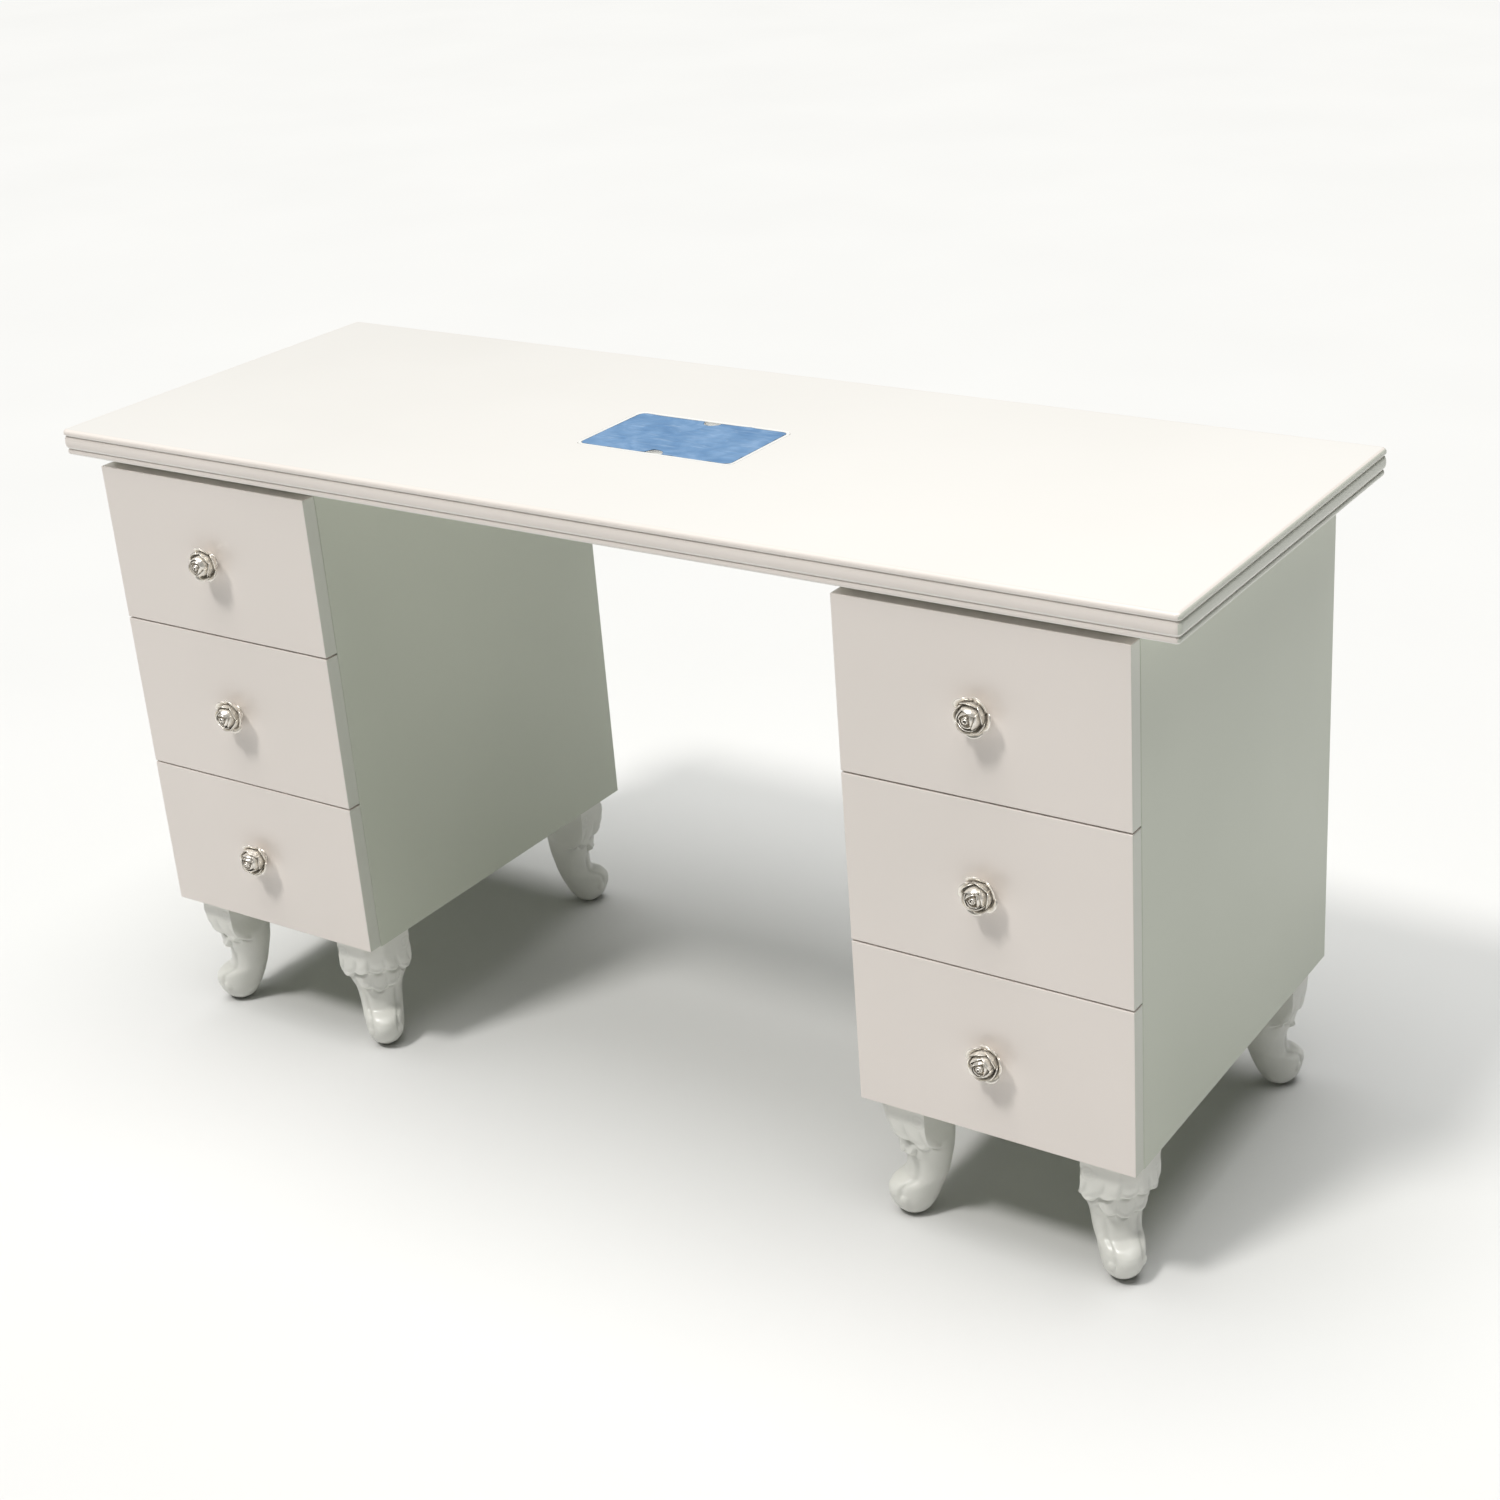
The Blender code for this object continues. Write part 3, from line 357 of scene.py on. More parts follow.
# ---------------------------------------------------------------- tabletop
UPPER_LIP = 7.6 * MM          # height of each thin layer of the moulded edge
LOWER_LIP = 7.0 * MM
LOWER_SETBACK = 1.6 * MM      # the lower lip stands behind the two layers above it
LIP_ROUND = 4.4 * MM
GROOVE = 3.0 * MM             # how far the grooves between the layers go in
GROOVE_WIDTH = 0.6 * MM
TOP_CORNER = 7.0 * MM
EDGE_BREAK = 0.5 * MM
RECESS_DEPTH = 8.8 * MM       # the step in the slab that the insert's flange drops into
RECESS_CORNER = 11.5 * MM
RECESS_GAP = 0.3 * MM
FLANGE_OVERHANG = 8.0 * MM
EDGE_BAND = 8.0 * MM          # the moulded edge is this wide at most
EDGE_SHADE_TURN = 0.4                # rise of the normal where the top's colour ends on the lip and the edge's painted shade begins
SIDE_SHADE_FACING = 0.6             # a face whose normal has more X than this belongs to a side and takes the sides' painted shade


def tabletop_profile(bottom, top):
    """The moulded edge from the top face down: lip, groove, bull-nosed layer, groove, lip."""
    upper_groove = top - UPPER_LIP
    lower_groove = bottom + LOWER_LIP
    under_round = 0.4 * UPPER_LIP
    points = oval(LIP_ROUND, top - LIP_ROUND, LIP_ROUND, LIP_ROUND, 90, 0, 10)
    points += oval(GROOVE, upper_groove + under_round, GROOVE, under_round, -10, -90, 6)
    points.append((GROOVE, upper_groove - GROOVE_WIDTH))
    nose = (upper_groove - lower_groove - 2 * GROOVE_WIDTH) / 2
    points += oval(GROOVE, (upper_groove + lower_groove) / 2, GROOVE, nose, 86, -86, 16)
    points.append((GROOVE, lower_groove))
    half_lip = 0.5 * LOWER_LIP
    points += oval(GROOVE + LOWER_SETBACK, bottom + half_lip, GROOVE, half_lip, 80, -90, 14)
    return points


def make_tabletop():
    """The slab: its moulded edge, flat faces and the stepped hole for the vent insert."""
    low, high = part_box("tabletop")
    flange_low, flange_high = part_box("vent_tray")
    middle = (low + high) / 2
    half = (high - low) / 2
    flange = (flange_high - flange_low) / 2
    recess_z = high.z - RECESS_DEPTH
    hole_corner = RECESS_CORNER - FLANGE_OVERHANG

    def ring(half_x, half_y, radius, z):
        return [(middle.x + x, middle.y + y, z) for x, y in rounded_outline(half_x, half_y, radius)]

    recess = (flange.x + RECESS_GAP, flange.y + RECESS_GAP)
    hole = (flange.x - FLANGE_OVERHANG + RECESS_GAP, flange.y - FLANGE_OVERHANG + RECESS_GAP)
    rings = [ring(recess[0] + EDGE_BREAK, recess[1] + EDGE_BREAK, RECESS_CORNER, high.z)]
    for inset, z in tabletop_profile(low.z, high.z):
        rings.append(ring(half.x - inset, half.y - inset, TOP_CORNER - inset, z))
    rings.append(ring(*hole, hole_corner, low.z))
    rings.append(ring(*hole, hole_corner, recess_z))
    rings.append(ring(*recess, RECESS_CORNER, recess_z))
    rings.append(ring(*recess, RECESS_CORNER, high.z - EDGE_BREAK))
    verts = [point for points in rings for point in points]
    faces = ring_faces(len(rings), len(rings[0]), closed=True)
    top = weighted_normals(mesh_object("tabletop_slab", verts, faces, WHITE_TOP, 40))
    top.data.materials.append(FRONT_PAINTED_SHADE)
    top.data.materials.append(SIDE_PAINTED_SHADE)
    # Painted shade on the slab: the top's faces keep the lit white; the edge's faces take a darker,
    # warmer copy facing front and a darker, greenish copy facing the sides.
    for face in top.data.polygons:
        from_side = half.x - abs(face.center.x - middle.x)
        from_front = half.y - abs(face.center.y - middle.y)
        if min(from_side, from_front) < EDGE_BAND and face.normal.z < EDGE_SHADE_TURN:
            face.material_index = 2 if abs(face.normal.x) > SIDE_SHADE_FACING else 1
    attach(top, "table")
    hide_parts("tabletop")


# ---------------------------------------------------------------- drawer fronts
FRONT_ROUND = 1.3 * MM
GAP_CLOSING = 0.7 * MM        # added above and below each front, as the gaps are narrow


def make_drawer_fronts():
    """Six rounded boards; their ends take the sides' painted shade, a darker, greenish copy of the white
    lacquer.
    """
    taller = Vector((0, 0, GAP_CLOSING))
    for side in SIDES:
        for level in LEVELS:
            node = f"{side}_{level}_drawer_front"
            low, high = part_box(node)
            front = rounded_box(f"{side}_{level}_front_board", low - taller, high + taller,
                                FRONT_ROUND, FRONT_PAINTED_SHADE, 4)
            front.data.materials.append(SIDE_PAINTED_SHADE)
            # Painted shade: the board's ends take the darker, greenish copy of the white lacquer.
            for face in front.data.polygons:
                face.material_index = 1 if abs(face.normal.x) > SIDE_SHADE_FACING else 0
            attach(front, f"{side}_{level}_drawer")
            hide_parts(node)


# ---------------------------------------------------------------- legs
# Height, front, back, half width in millimetres and squareness, 0 round to 1 a square on edge.
# Front and back are measured outwards along the leg's diagonal from the middle of its foot.
LEG_LINES = (
    (2.5, 9.5, -12.0, 10.5, 0.0),
    (6, 15.0, -17.4, 15.2, 0.0),
    (12, 20.6, -22.4, 19.0, 0.0),
    (18, 23.8, -26.0, 21.2, 0.0),
    (24, 25.2, -29.0, 22.4, 0.0),
    (30, 26.0, -31.6, 23.1, 0.0),
    (36, 25.2, -34.2, 23.6, -0.05),
    (40, 22.8, -35.6, 23.9, -0.1),
    (43, 19.0, -36.6, 24.1, -0.1),
    (45.5, 13.6, -37.4, 24.3, -0.1),
    (48, 8.8, -38.2, 24.5, -0.1),
    (51, 6.6, -39.2, 24.8, -0.1),
    (56, 5.4, -40.4, 25.3, -0.1),
    (62, 5.0, -41.8, 26.0, -0.05),
    (70, 4.8, -43.6, 27.2, 0.0),
    (75, 5.6, -44.8, 28.4, 0.05),
    (79, 8.4, -45.6, 29.6, 0.10),
    (84, 10.6, -46.4, 31.4, 0.16),
    (91, 12.2, -47.2, 34.2, 0.28),
    (96, 12.8, -47.6, 37.0, 0.40),
    (100, 13.4, -47.9, 39.4, 0.50),
    (104, 15.6, -48.0, 41.2, 0.62),
    (109, 19.0, -48.0, 42.2, 0.75),
    (115, 22.6, -47.8, 42.4, 0.86),
    (123, 25.8, -47.4, 42.4, 0.94),
    (134, 27.2, -46.8, 42.4, 0.96),
    (150, 25.6, -46.4, 42.4, 0.96),
)
FOOT_SHIFT = 4.0              # the foot's middle, outwards from the block's middle
BLOCK_DIAGONAL = 42.4
FRONT_SOFTENING = 3.0         # how softly the flat front cuts the section's nose
LEG_SIDES = 128
LEG_RINGS = 150
LEAF_WIDTH = 19.0
GLIDE_PROFILE = ((7.0, 0.0), (8.4, 0.0), (9.0, 0.6), (9.0, 2.2), (8.6, 2.6))


def flowing(heights, stations, values):
    """A smooth curve through the stations that never overshoots them."""
    steps = np.diff(stations)
    slopes = np.diff(values) / steps
    tangents = np.zeros(len(values))
    tangents[0], tangents[-1] = slopes[0], slopes[-1]
    for k in range(1, len(values) - 1):
        if slopes[k - 1] * slopes[k] > 0:
            tangents[k] = 2 * slopes[k - 1] * slopes[k] / (slopes[k - 1] + slopes[k])
    k = np.clip(np.searchsorted(stations, heights, side="right") - 1, 0, len(steps) - 1)
    t = np.clip((heights - stations[k]) / steps[k], 0.0, 1.0)
    rise = values[k] * (2 * t**3 - 3 * t**2 + 1) + values[k + 1] * (3 * t**2 - 2 * t**3)
    lean = tangents[k] * (t**3 - 2 * t**2 + t) + tangents[k + 1] * (t**3 - t**2)
    return rise + lean * steps[k]


def leg_section(angles, heights):
    """Points of the plain leg, in millimetres: x outwards along the diagonal, y across."""
    lines = np.array(LEG_LINES, float)
    front, back, half, square = (flowing(heights, lines[:, 0], lines[:, k]) for k in range(1, 5))
    power = 2.0 / (2.0 - square)
    cosine, sine = np.cos(angles), np.sin(angles)
    along = np.sign(cosine) * np.abs(cosine) ** power
    across = np.sign(sine) * np.abs(sine) ** power
    middle = 0.5 * (front + back) * (1 - square) - FOOT_SHIFT * square
    reach = np.maximum(front - middle, BLOCK_DIAGONAL * square)
    x = middle + np.where(along > 0, reach, middle - back) * along
    soft = FRONT_SOFTENING
    cut = 0.5 * (x + front - np.sqrt((x - front) ** 2 + soft**2)) + 0.5 * soft * (x > front - 2 * soft)
    x = np.where(along > 0, np.minimum(x, np.minimum(cut, front)), x)
    return x + FOOT_SHIFT, half * across


def bell(value, middle, width):
    """1 at the middle, falling smoothly to nothing some widths away."""
    return np.exp(-(((value - middle) / width) ** 2))


def step_up(value, low, high):
    """0 below `low` and 1 above `high`, with a smooth step between."""
    t = np.clip((value - low) / (high - low), 0.0, 1.0)
    return t * t * (3 - 2 * t)


def scallop(span, lobe):
    """1 at the middle of each rounded tip, 0 at the cusps between two tips."""
    return np.cos(math.pi * ((span / lobe + 0.5) % 1.0 - 0.5))


def leaf_tier(span, height, lip, lobe, rise, reach):
    """A tier of carved leaves: plump tips curling out over a hollow, with flutes above them.

    `lip` is the height of the tips' lower edge at each point, `lobe` the width of one leaf,
    `rise` how far the tips stand out and `reach` how far the flutes run up.
    """
    tip = scallop(span, lobe)
    shape = rise * (0.25 + 0.75 * tip) * bell(height, lip + 3.6, 3.4)
    shape -= 0.55 * rise * bell(height, lip - 2.2, 2.0)
    fading = step_up(height, lip + 1.5, lip + 5.0)
    fading *= 1 - step_up(height, lip + 0.5 * reach, lip + reach)
    shape -= 0.45 * rise * (1 - tip) ** 3 * fading
    shape += 0.22 * rise * tip**4 * fading
    return shape


def leaf_carving(span, height):
    """Two tiers of leaves: one round the knee, one hanging under it in front."""
    tips = scallop(span, LEAF_WIDTH)
    upper_lip = 109.0 - 6.0 * tips - 9.0 * step_up(span, 10, 42)
    shape = leaf_tier(span, height, upper_lip, LEAF_WIDTH, 3.4, 26.0) * (1 - step_up(span, 56, 66))
    lower_lip = 81.0 - 7.0 * tips + 0.6 * np.maximum(span - 9.5, 0)
    in_front = 1 - step_up(span, 25, 33)
    shape += leaf_tier(span, height, lower_lip, LEAF_WIDTH, 3.2, 20.0) * in_front
    padding = step_up(height, lower_lip - 0.5, lower_lip + 2.0) * (1 - step_up(height, 95, 102))
    return shape + 0.9 * padding * in_front


def scroll_carving(span, height):
    """A spiral groove on each side of the knee."""
    from_middle = span - 47.0
    above = height - 133.0
    distance = np.hypot(from_middle, above)
    turn = np.arctan2(above, from_middle) / (2 * math.pi)
    groove = np.abs((distance / 5.4 + turn) % 1.0 - 0.5)
    ends = (1 - step_up(distance, 9, 13)) * step_up(distance, 0.5, 2.5)
    return -0.55 * bell(groove, 0.0, 0.22) * ends


def foot_carving(span, height):
    """A flute down each side of the shin, a bead at its foot and the swell of the toe."""
    flute = step_up(height, 20, 32) * (1 - step_up(height, 60, 78))
    shape = -1.5 * flute * bell(span, 17.5 + (height - 30) * 0.04, 3.2)
    bead = np.hypot(span - 21.5, (height - 25.0) * 0.85)
    shape += 2.0 * np.sqrt(np.clip(1 - (bead / 5.0) ** 2, 0, 1))
    toe = np.hypot(span / 13.0, (height - 30.0) / 12.0)
    return shape + 1 - step_up(toe, 0.5, 1.0)


def leg_carving(across, height, facing):
    """Height of the carving over the plain leg, in millimetres.

    `across` is the distance round the leg from its front, `height` is above the floor
    and `facing` is 1 on the carved front and sides and 0 on the plain back.
    """
    span = np.abs(across)
    shape = leaf_carving(span, height) + scroll_carving(span, height) + foot_carving(span, height)
    return shape * facing


def leg_mesh():
    """The carved cabriole leg: foot, ankle, leaf-carved knee and block."""
    heights = np.linspace(LEG_LINES[0][0], LEG_LINES[-1][0], LEG_RINGS)
    angles = 2 * math.pi * np.arange(LEG_SIDES) / LEG_SIDES
    angle, height = np.meshgrid(angles, heights)
    x, y = leg_section(angle.ravel(), height.ravel())
    x, y = x.reshape(height.shape), y.reshape(height.shape)
    run = np.hypot(np.diff(x, axis=1, append=x[:, :1]), np.diff(y, axis=1, append=y[:, :1]))
    across = np.cumsum(np.hstack([np.zeros((LEG_RINGS, 1)), run[:, :-1]]), axis=1)
    across = np.minimum(across, run.sum(axis=1, keepdims=True) - across)
    facing = 1 - step_up(np.abs(np.angle(np.exp(1j * angle))), math.radians(100), math.radians(125))
    carving = leg_carving(across, height, facing)
    slope_x = np.roll(x, -1, axis=1) - np.roll(x, 1, axis=1)
    slope_y = np.roll(y, -1, axis=1) - np.roll(y, 1, axis=1)
    length = np.maximum(np.hypot(slope_x, slope_y), 1e-6)
    block = 1 - step_up(height, 144, 150)
    x = x + carving * block * slope_y / length
    y = y - carving * block * slope_x / length
    verts = np.stack([x, y, height], axis=-1).reshape(-1, 3) * MM
    faces = ring_faces(LEG_RINGS, LEG_SIDES)
    faces.append(tuple(range(LEG_SIDES - 1, -1, -1)))
    faces.append(tuple(range((LEG_RINGS - 1) * LEG_SIDES, LEG_RINGS * LEG_SIDES)))
    mesh = bpy.data.meshes.new("carved_leg")
    mesh.from_pydata(verts.tolist(), [], faces)
    mesh.shade_smooth()
    mesh.set_sharp_from_angle(angle=math.radians(50))
    # Painted shade: the deeper a point lies in the carving, the darker it is painted.
    painted_shade = mesh.attributes.new("painted_shade", "FLOAT", "POINT")
    depth = np.clip(-carving / 2.4, 0, 1) * 0.4
    painted_shade.data.foreach_set("value", depth.ravel().astype(np.float32))
    mesh.materials.append(CARVED_SHADED_WHITE)
    return mesh


def make_legs():
    """Eight carved legs, each facing out over its own corner, with a glide under each."""
    carved = leg_mesh()
    glide_verts, glide_faces = turned([(radius * MM, z * MM) for radius, z in GLIDE_PROFILE], 32)
    for side, outwards in zip(SIDES, (-1, 1)):
        for row, facing_y in (("front", -1), ("back", 1)):
            for column, facing_x in (("outer", outwards), ("inner", -outwards)):
                node = f"{side}_{row}_{column}_leg"
                low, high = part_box(node)
                middle = (low + high) / 2
                leg = bpy.data.objects.new(f"{side}_{row}_{column}_carved_leg", carved)
                bpy.context.scene.collection.objects.link(leg)
                leg.location = (middle.x, middle.y, low.z)
                leg.rotation_euler = (0, 0, math.atan2(facing_y, facing_x))
                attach(leg, "table")
                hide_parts(node)
                glide = mesh_object(f"{side}_{row}_{column}_glide", glide_verts, glide_faces, GLIDE)
                outward = Vector((facing_x, facing_y, 0)).normalized() * FOOT_SHIFT * MM
                glide.location = Vector((middle.x, middle.y, low.z)) + outward
                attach(glide, "table")


# ---------------------------------------------------------------- knobs
PETAL_ROWS, PETAL_COLUMNS = 11, 9
PETAL_ROOT = math.radians(24)
PETAL_THICKNESS = 1.0 * MM
ROLLED_FROM = 0.72            # the share of a petal's length where its rim starts to roll out
BUD_COLUMNS, BUD_ROWS = 30, 6
BUD_TURNS = 1.7
# Petals, phase, half spread, shell radius, shell's middle, rim's polar angle and curl of each
# whorl, in millimetres and degrees, from the outermost inwards.
WHORLS = (
    (5, 0.0, 38, 17.2, 16.8, 92, 4.2),
    (5, 0.5, 42, 14.6, 16.4, 116, 2.4),
    (4, 0.2, 55, 11.6, 17.0, 137, 1.2),
    (3, 0.6, 70, 8.6, 19.0, 146, 0.9),
)
STEM_PROFILE = ((9.4, 0.0), (9.6, 0.4), (9.4, 1.0), (8.4, 1.5), (7.2, 1.8), (6.6, 2.6), (6.8, 3.6),
                (8.4, 5.2), (10.2, 7.6), (11.2, 10.6), (11.2, 13.4), (9.4, 16.0), (5.0, 17.4))
KNOB_TURNS = {"top": 20, "middle": 140, "bottom": 255}
RIGHT_TURN = 35


def petal(middle, spread, shell, centre, rim, curl):
    """One cupped petal, part of a round shell; `rim` is the polar angle that it reaches.

    One side tucks in under its neighbour, the other lies over it, and the rim rolls out.
    """
    verts, faces, painted_shade = [], [], []
    for row in range(PETAL_ROWS):
        v = row / (PETAL_ROWS - 1)
        width = spread * (0.50 + 0.50 * math.sin(math.pi * (0.08 + 0.66 * v)))
        rolled = max(0.0, (v - ROLLED_FROM) / (1 - ROLLED_FROM))
        for column in range(PETAL_COLUMNS):
            u = 2 * column / (PETAL_COLUMNS - 1) - 1
            polar = PETAL_ROOT + (rim - PETAL_ROOT) * v * (1 - 0.17 * v * u * u)
            radius = shell * math.sin(polar) * (1 + 0.075 * u * v)
            radius += curl * rolled**2 * (1 - 0.5 * u * u)
            height = centre - shell * math.cos(polar) - 0.55 * curl * rolled**2
            angle = middle + width * u
            verts.append((radius * MM * math.cos(angle), radius * MM * math.sin(angle), height * MM))
            # Painted shade: darker along the side that tucks in under the neighbouring petal.
            painted_shade.append(0.6 * max(0.0, -u - 0.6))
    for row in range(PETAL_ROWS - 1):
        for column in range(PETAL_COLUMNS - 1):
            first = row * PETAL_COLUMNS + column
            faces.append((first, first + 1, first + PETAL_COLUMNS + 1, first + PETAL_COLUMNS))
    return verts, faces, painted_shade


def rolled_bud():
    """The flower's rolled heart: one sheet wound inwards, taller at its middle."""
    verts, faces, painted_shade = [], [], []
    for column in range(BUD_COLUMNS):
        wind = column / (BUD_COLUMNS - 1)
        angle = wind * BUD_TURNS * 2 * math.pi
        for row in range(BUD_ROWS):
            v = row / (BUD_ROWS - 1)
            radius = (4.6 - 3.2 * wind) * (1.1 - 0.35 * v * v)
            height = 15 + (10.6 + 2.6 * wind) * v
            verts.append((radius * MM * math.cos(angle), radius * MM * math.sin(angle), height * MM))
            # Painted shade: darker towards the bud's base, deep in the flower.
            painted_shade.append(max(0.0, 0.7 - 1.3 * v))
    for column in range(BUD_COLUMNS - 1):
        for row in range(BUD_ROWS - 1):
            first = column * BUD_ROWS + row
            faces.append((first, first + 1, first + BUD_ROWS + 1, first + BUD_ROWS))
    return verts, faces, painted_shade


def knob_head_mesh():
    """All petals in one mesh, in whorls that close round the bud."""
    verts, faces, painted_shade = [], [], []
    sheets = [rolled_bud()]
    for count, phase, spread, shell, centre, rim, curl in WHORLS:
        for k in range(count):
            middle = 2 * math.pi * (k + phase) / count
            opened = math.radians(rim + 6 * math.sin(2.3 * k + 7 * phase))
            sheets.append(petal(middle, math.radians(spread), shell, centre, opened, curl))
    for sheet_verts, sheet_faces, sheet_shade in sheets:
        start = len(verts)
        verts += sheet_verts
        painted_shade += sheet_shade
        faces += [tuple(index + start for index in face) for face in sheet_faces]
    mesh = bpy.data.meshes.new("knob_petals")
    mesh.from_pydata(verts, [], faces)
    mesh.shade_smooth()
    shade_layer = mesh.attributes.new("painted_shade", "FLOAT", "POINT")
    shade_layer.data.foreach_set("value", np.array(painted_shade, np.float32))
    mesh.materials.append(SILVER)
    return mesh


def knob_stem_mesh():
    """Foot, neck and the cup under the petals."""
    verts, faces = turned([(radius * MM, height * MM) for radius, height in STEM_PROFILE], 40)
    mesh = bpy.data.meshes.new("knob_stem")
    mesh.from_pydata(verts, [], faces)
    mesh.shade_smooth()
    mesh.set_sharp_from_angle(angle=math.radians(50))
    mesh.materials.append(SILVER)
    return mesh


def make_knobs():
    """Six flower knobs, each turned its own way as they are when screwed on by hand."""
    petals, stem = knob_head_mesh(), knob_stem_mesh()
    for side in SIDES:
        for level in LEVELS:
            node = f"{side}_{level}_knob"
            body = f"{side}_{level}_drawer"
            low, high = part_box(node)
            turn = math.radians(KNOB_TURNS[level] + (RIGHT_TURN if side == "right" else 0))
            outwards = Matrix.Rotation(math.radians(90), 4, "X") @ Matrix.Rotation(turn, 4, "Z")
            place = Matrix.Translation(((low.x + high.x) / 2, high.y, (low.z + high.z) / 2))
            head = bpy.data.objects.new(f"{side}_{level}_knob_petals", petals)
            base = bpy.data.objects.new(f"{side}_{level}_knob_stem", stem)
            for piece in (head, base):
                bpy.context.scene.collection.objects.link(piece)
                piece.matrix_world = place @ outwards
                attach(piece, body)
            thickness = head.modifiers.new("petal_thickness", "SOLIDIFY")
            thickness.thickness = PETAL_THICKNESS
            thickness.offset = 0.0
            rounding = head.modifiers.new("petal_rounding", "SUBSURF")
            rounding.levels = 1
            rounding.render_levels = 1
            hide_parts(node)


# ---------------------------------------------------------------- vent film
FILM_PITCH = 1.6 * MM
FILM_THICKNESS = 0.12 * MM
FILM_NOTCH = 11.0 * MM
FILM_CORNER = 7.0 * MM
SLOT_COLUMNS, SLOT_ROWS = 5, 7
SLOT_STEP = (34.0 * MM, 12.0 * MM)
SLOT_HALF = (12.0 * MM, 2.0 * MM)


def slot_dip(x, y):
    """1 over the middle of a slot of the cover, 0 over the plate between the slots."""
    deepest = 0.0
    for column in range(SLOT_COLUMNS):
        from_x = abs(x - (column - (SLOT_COLUMNS - 1) / 2) * SLOT_STEP[0])
        if from_x > SLOT_HALF[0]:
            continue
        for row in range(SLOT_ROWS):
            from_y = abs(y - (row - (SLOT_ROWS - 1) / 2) * SLOT_STEP[1])
            deepest = max(deepest, 1 - (from_y / SLOT_HALF[1]) ** 2)
    return deepest


def film_height(x, y):
    """Bubbles, long creases, a slow wave and the dips over the slots, in metres."""
    bubble = max(0.0, noise.noise(Vector((x * 95, y * 95, 3.0))) - 0.12)
    crease = 1 - abs(noise.noise(Vector((x * 22 + y * 30, y * 50 - x * 16, 8.0))))
    wave = noise.noise(Vector((x * 24, y * 24, 5.0)))
    return (0.75 * bubble + 0.45 * crease**9 + 0.10 * wave - 0.16 * slot_dip(x, y)) * MM


def film_point(x, y, half):
    """Moves a point of the grid out of a notch or corner, and says whether it was in a notch."""
    inside = False
    for notch_y in (-half.y, half.y):
        distance = math.hypot(x, y - notch_y)
        if distance < FILM_NOTCH:
            inside = True
            if distance > 1e-6:
                x, y = x * FILM_NOTCH / distance, notch_y + (y - notch_y) * FILM_NOTCH / distance
    corner_x = abs(x) - (half.x - FILM_CORNER)
    corner_y = abs(y) - (half.y - FILM_CORNER)
    beyond = math.hypot(corner_x, corner_y)
    if corner_x > 0 and corner_y > 0 and beyond > FILM_CORNER:
        pull = FILM_CORNER / beyond
        x = math.copysign(half.x - FILM_CORNER + corner_x * pull, x)
        y = math.copysign(half.y - FILM_CORNER + corner_y * pull, y)
    return x, y, inside


def make_film():
    """The protective film on the vent cover, cut round the finger notches."""
    low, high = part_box("cover_film")
    middle = (low + high) / 2
    half = (high - low) / 2
    columns = round(2 * half.x / FILM_PITCH)
    rows = round(2 * half.y / FILM_PITCH)
    verts, cut = [], []
    for row in range(rows + 1):
        for column in range(columns + 1):
            x = half.x * (2 * column / columns - 1)
            y = half.y * (2 * row / rows - 1)
            x, y, inside = film_point(x, y, half)
            cut.append(inside)
            verts.append((middle.x + x, middle.y + y, high.z + film_height(x, y)))
    faces = []
    for row in range(rows):
        for column in range(columns):
            first = row * (columns + 1) + column
            corners = (first, first + 1, first + columns + 2, first + columns + 1)
            if not all(cut[index] for index in corners):
                faces.append(corners)
    used = sorted({index for face in faces for index in face})
    renumbered = {index: position for position, index in enumerate(used)}
    faces = [tuple(renumbered[index] for index in face) for face in faces]
    film = mesh_object("protective_film", [verts[index] for index in used], faces, FILM, 60)
    sheet = film.modifiers.new("sheet", "SOLIDIFY")
    sheet.thickness = FILM_THICKNESS
    sheet.offset = -1.0
    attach(film, "vent_cover")
    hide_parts("cover_film")


# ---------------------------------------------------------------- fasteners
SCREW_SIDES = 24
SCREW_RINGS = 9
DOME = 0.28                   # a screw head's rise, recess and skirt, as shares of its radius
RECESS = 0.42
SKIRT = 0.12
SCREW_LIFT = 0.1 * MM
BACK_SCREW_INSET = 12 * MM
BACK_SCREW_END = 45 * MM
FRONT_SCREW_INSET = 60 * MM
FRONT_SCREW_RISE = 8 * MM
DRAWER_WALL = 12 * MM
HOUSING_SCREW_INSET = 4.2 * MM
HOUSING_FLANGE = 2.1 * MM     # the flange that the housing's screws go through


def screw_mesh(name, radius):
    """A low domed head with a cross recess pressed into it."""
    verts = []
    for ring in range(SCREW_RINGS):
        share = 1 - ring / SCREW_RINGS
        for side in range(SCREW_SIDES):
            angle = 2 * math.pi * side / SCREW_SIDES
            x, y = share * math.cos(angle), share * math.sin(angle)
            in_cross = min(abs(x), abs(y)) < 0.13 and share < 0.62
            height = DOME * (1 - share**2) - (RECESS if in_cross else 0.0)
            verts.append((x * radius, y * radius, height * radius))
    faces = ring_faces(SCREW_RINGS, SCREW_SIDES)
    verts.append((0.0, 0.0, (DOME - RECESS) * radius))
    last = (SCREW_RINGS - 1) * SCREW_SIDES
    for side in range(SCREW_SIDES):
        faces.append((last + side, last + (side + 1) % SCREW_SIDES, len(verts) - 1))
    start = len(verts)
    for side in range(SCREW_SIDES):
        angle = 2 * math.pi * side / SCREW_SIDES
        verts.append((0.96 * radius * math.cos(angle), 0.96 * radius * math.sin(angle), -SKIRT * radius))
    for side in range(SCREW_SIDES):
        following = (side + 1) % SCREW_SIDES
        faces.append((start + side, start + following, following, side))
    mesh = bpy.data.meshes.new(name)
    mesh.from_pydata(verts, [], faces)
    mesh.shade_smooth()
    mesh.set_sharp_from_angle(angle=math.radians(38))
    mesh.materials.append(ZINC)
    return mesh


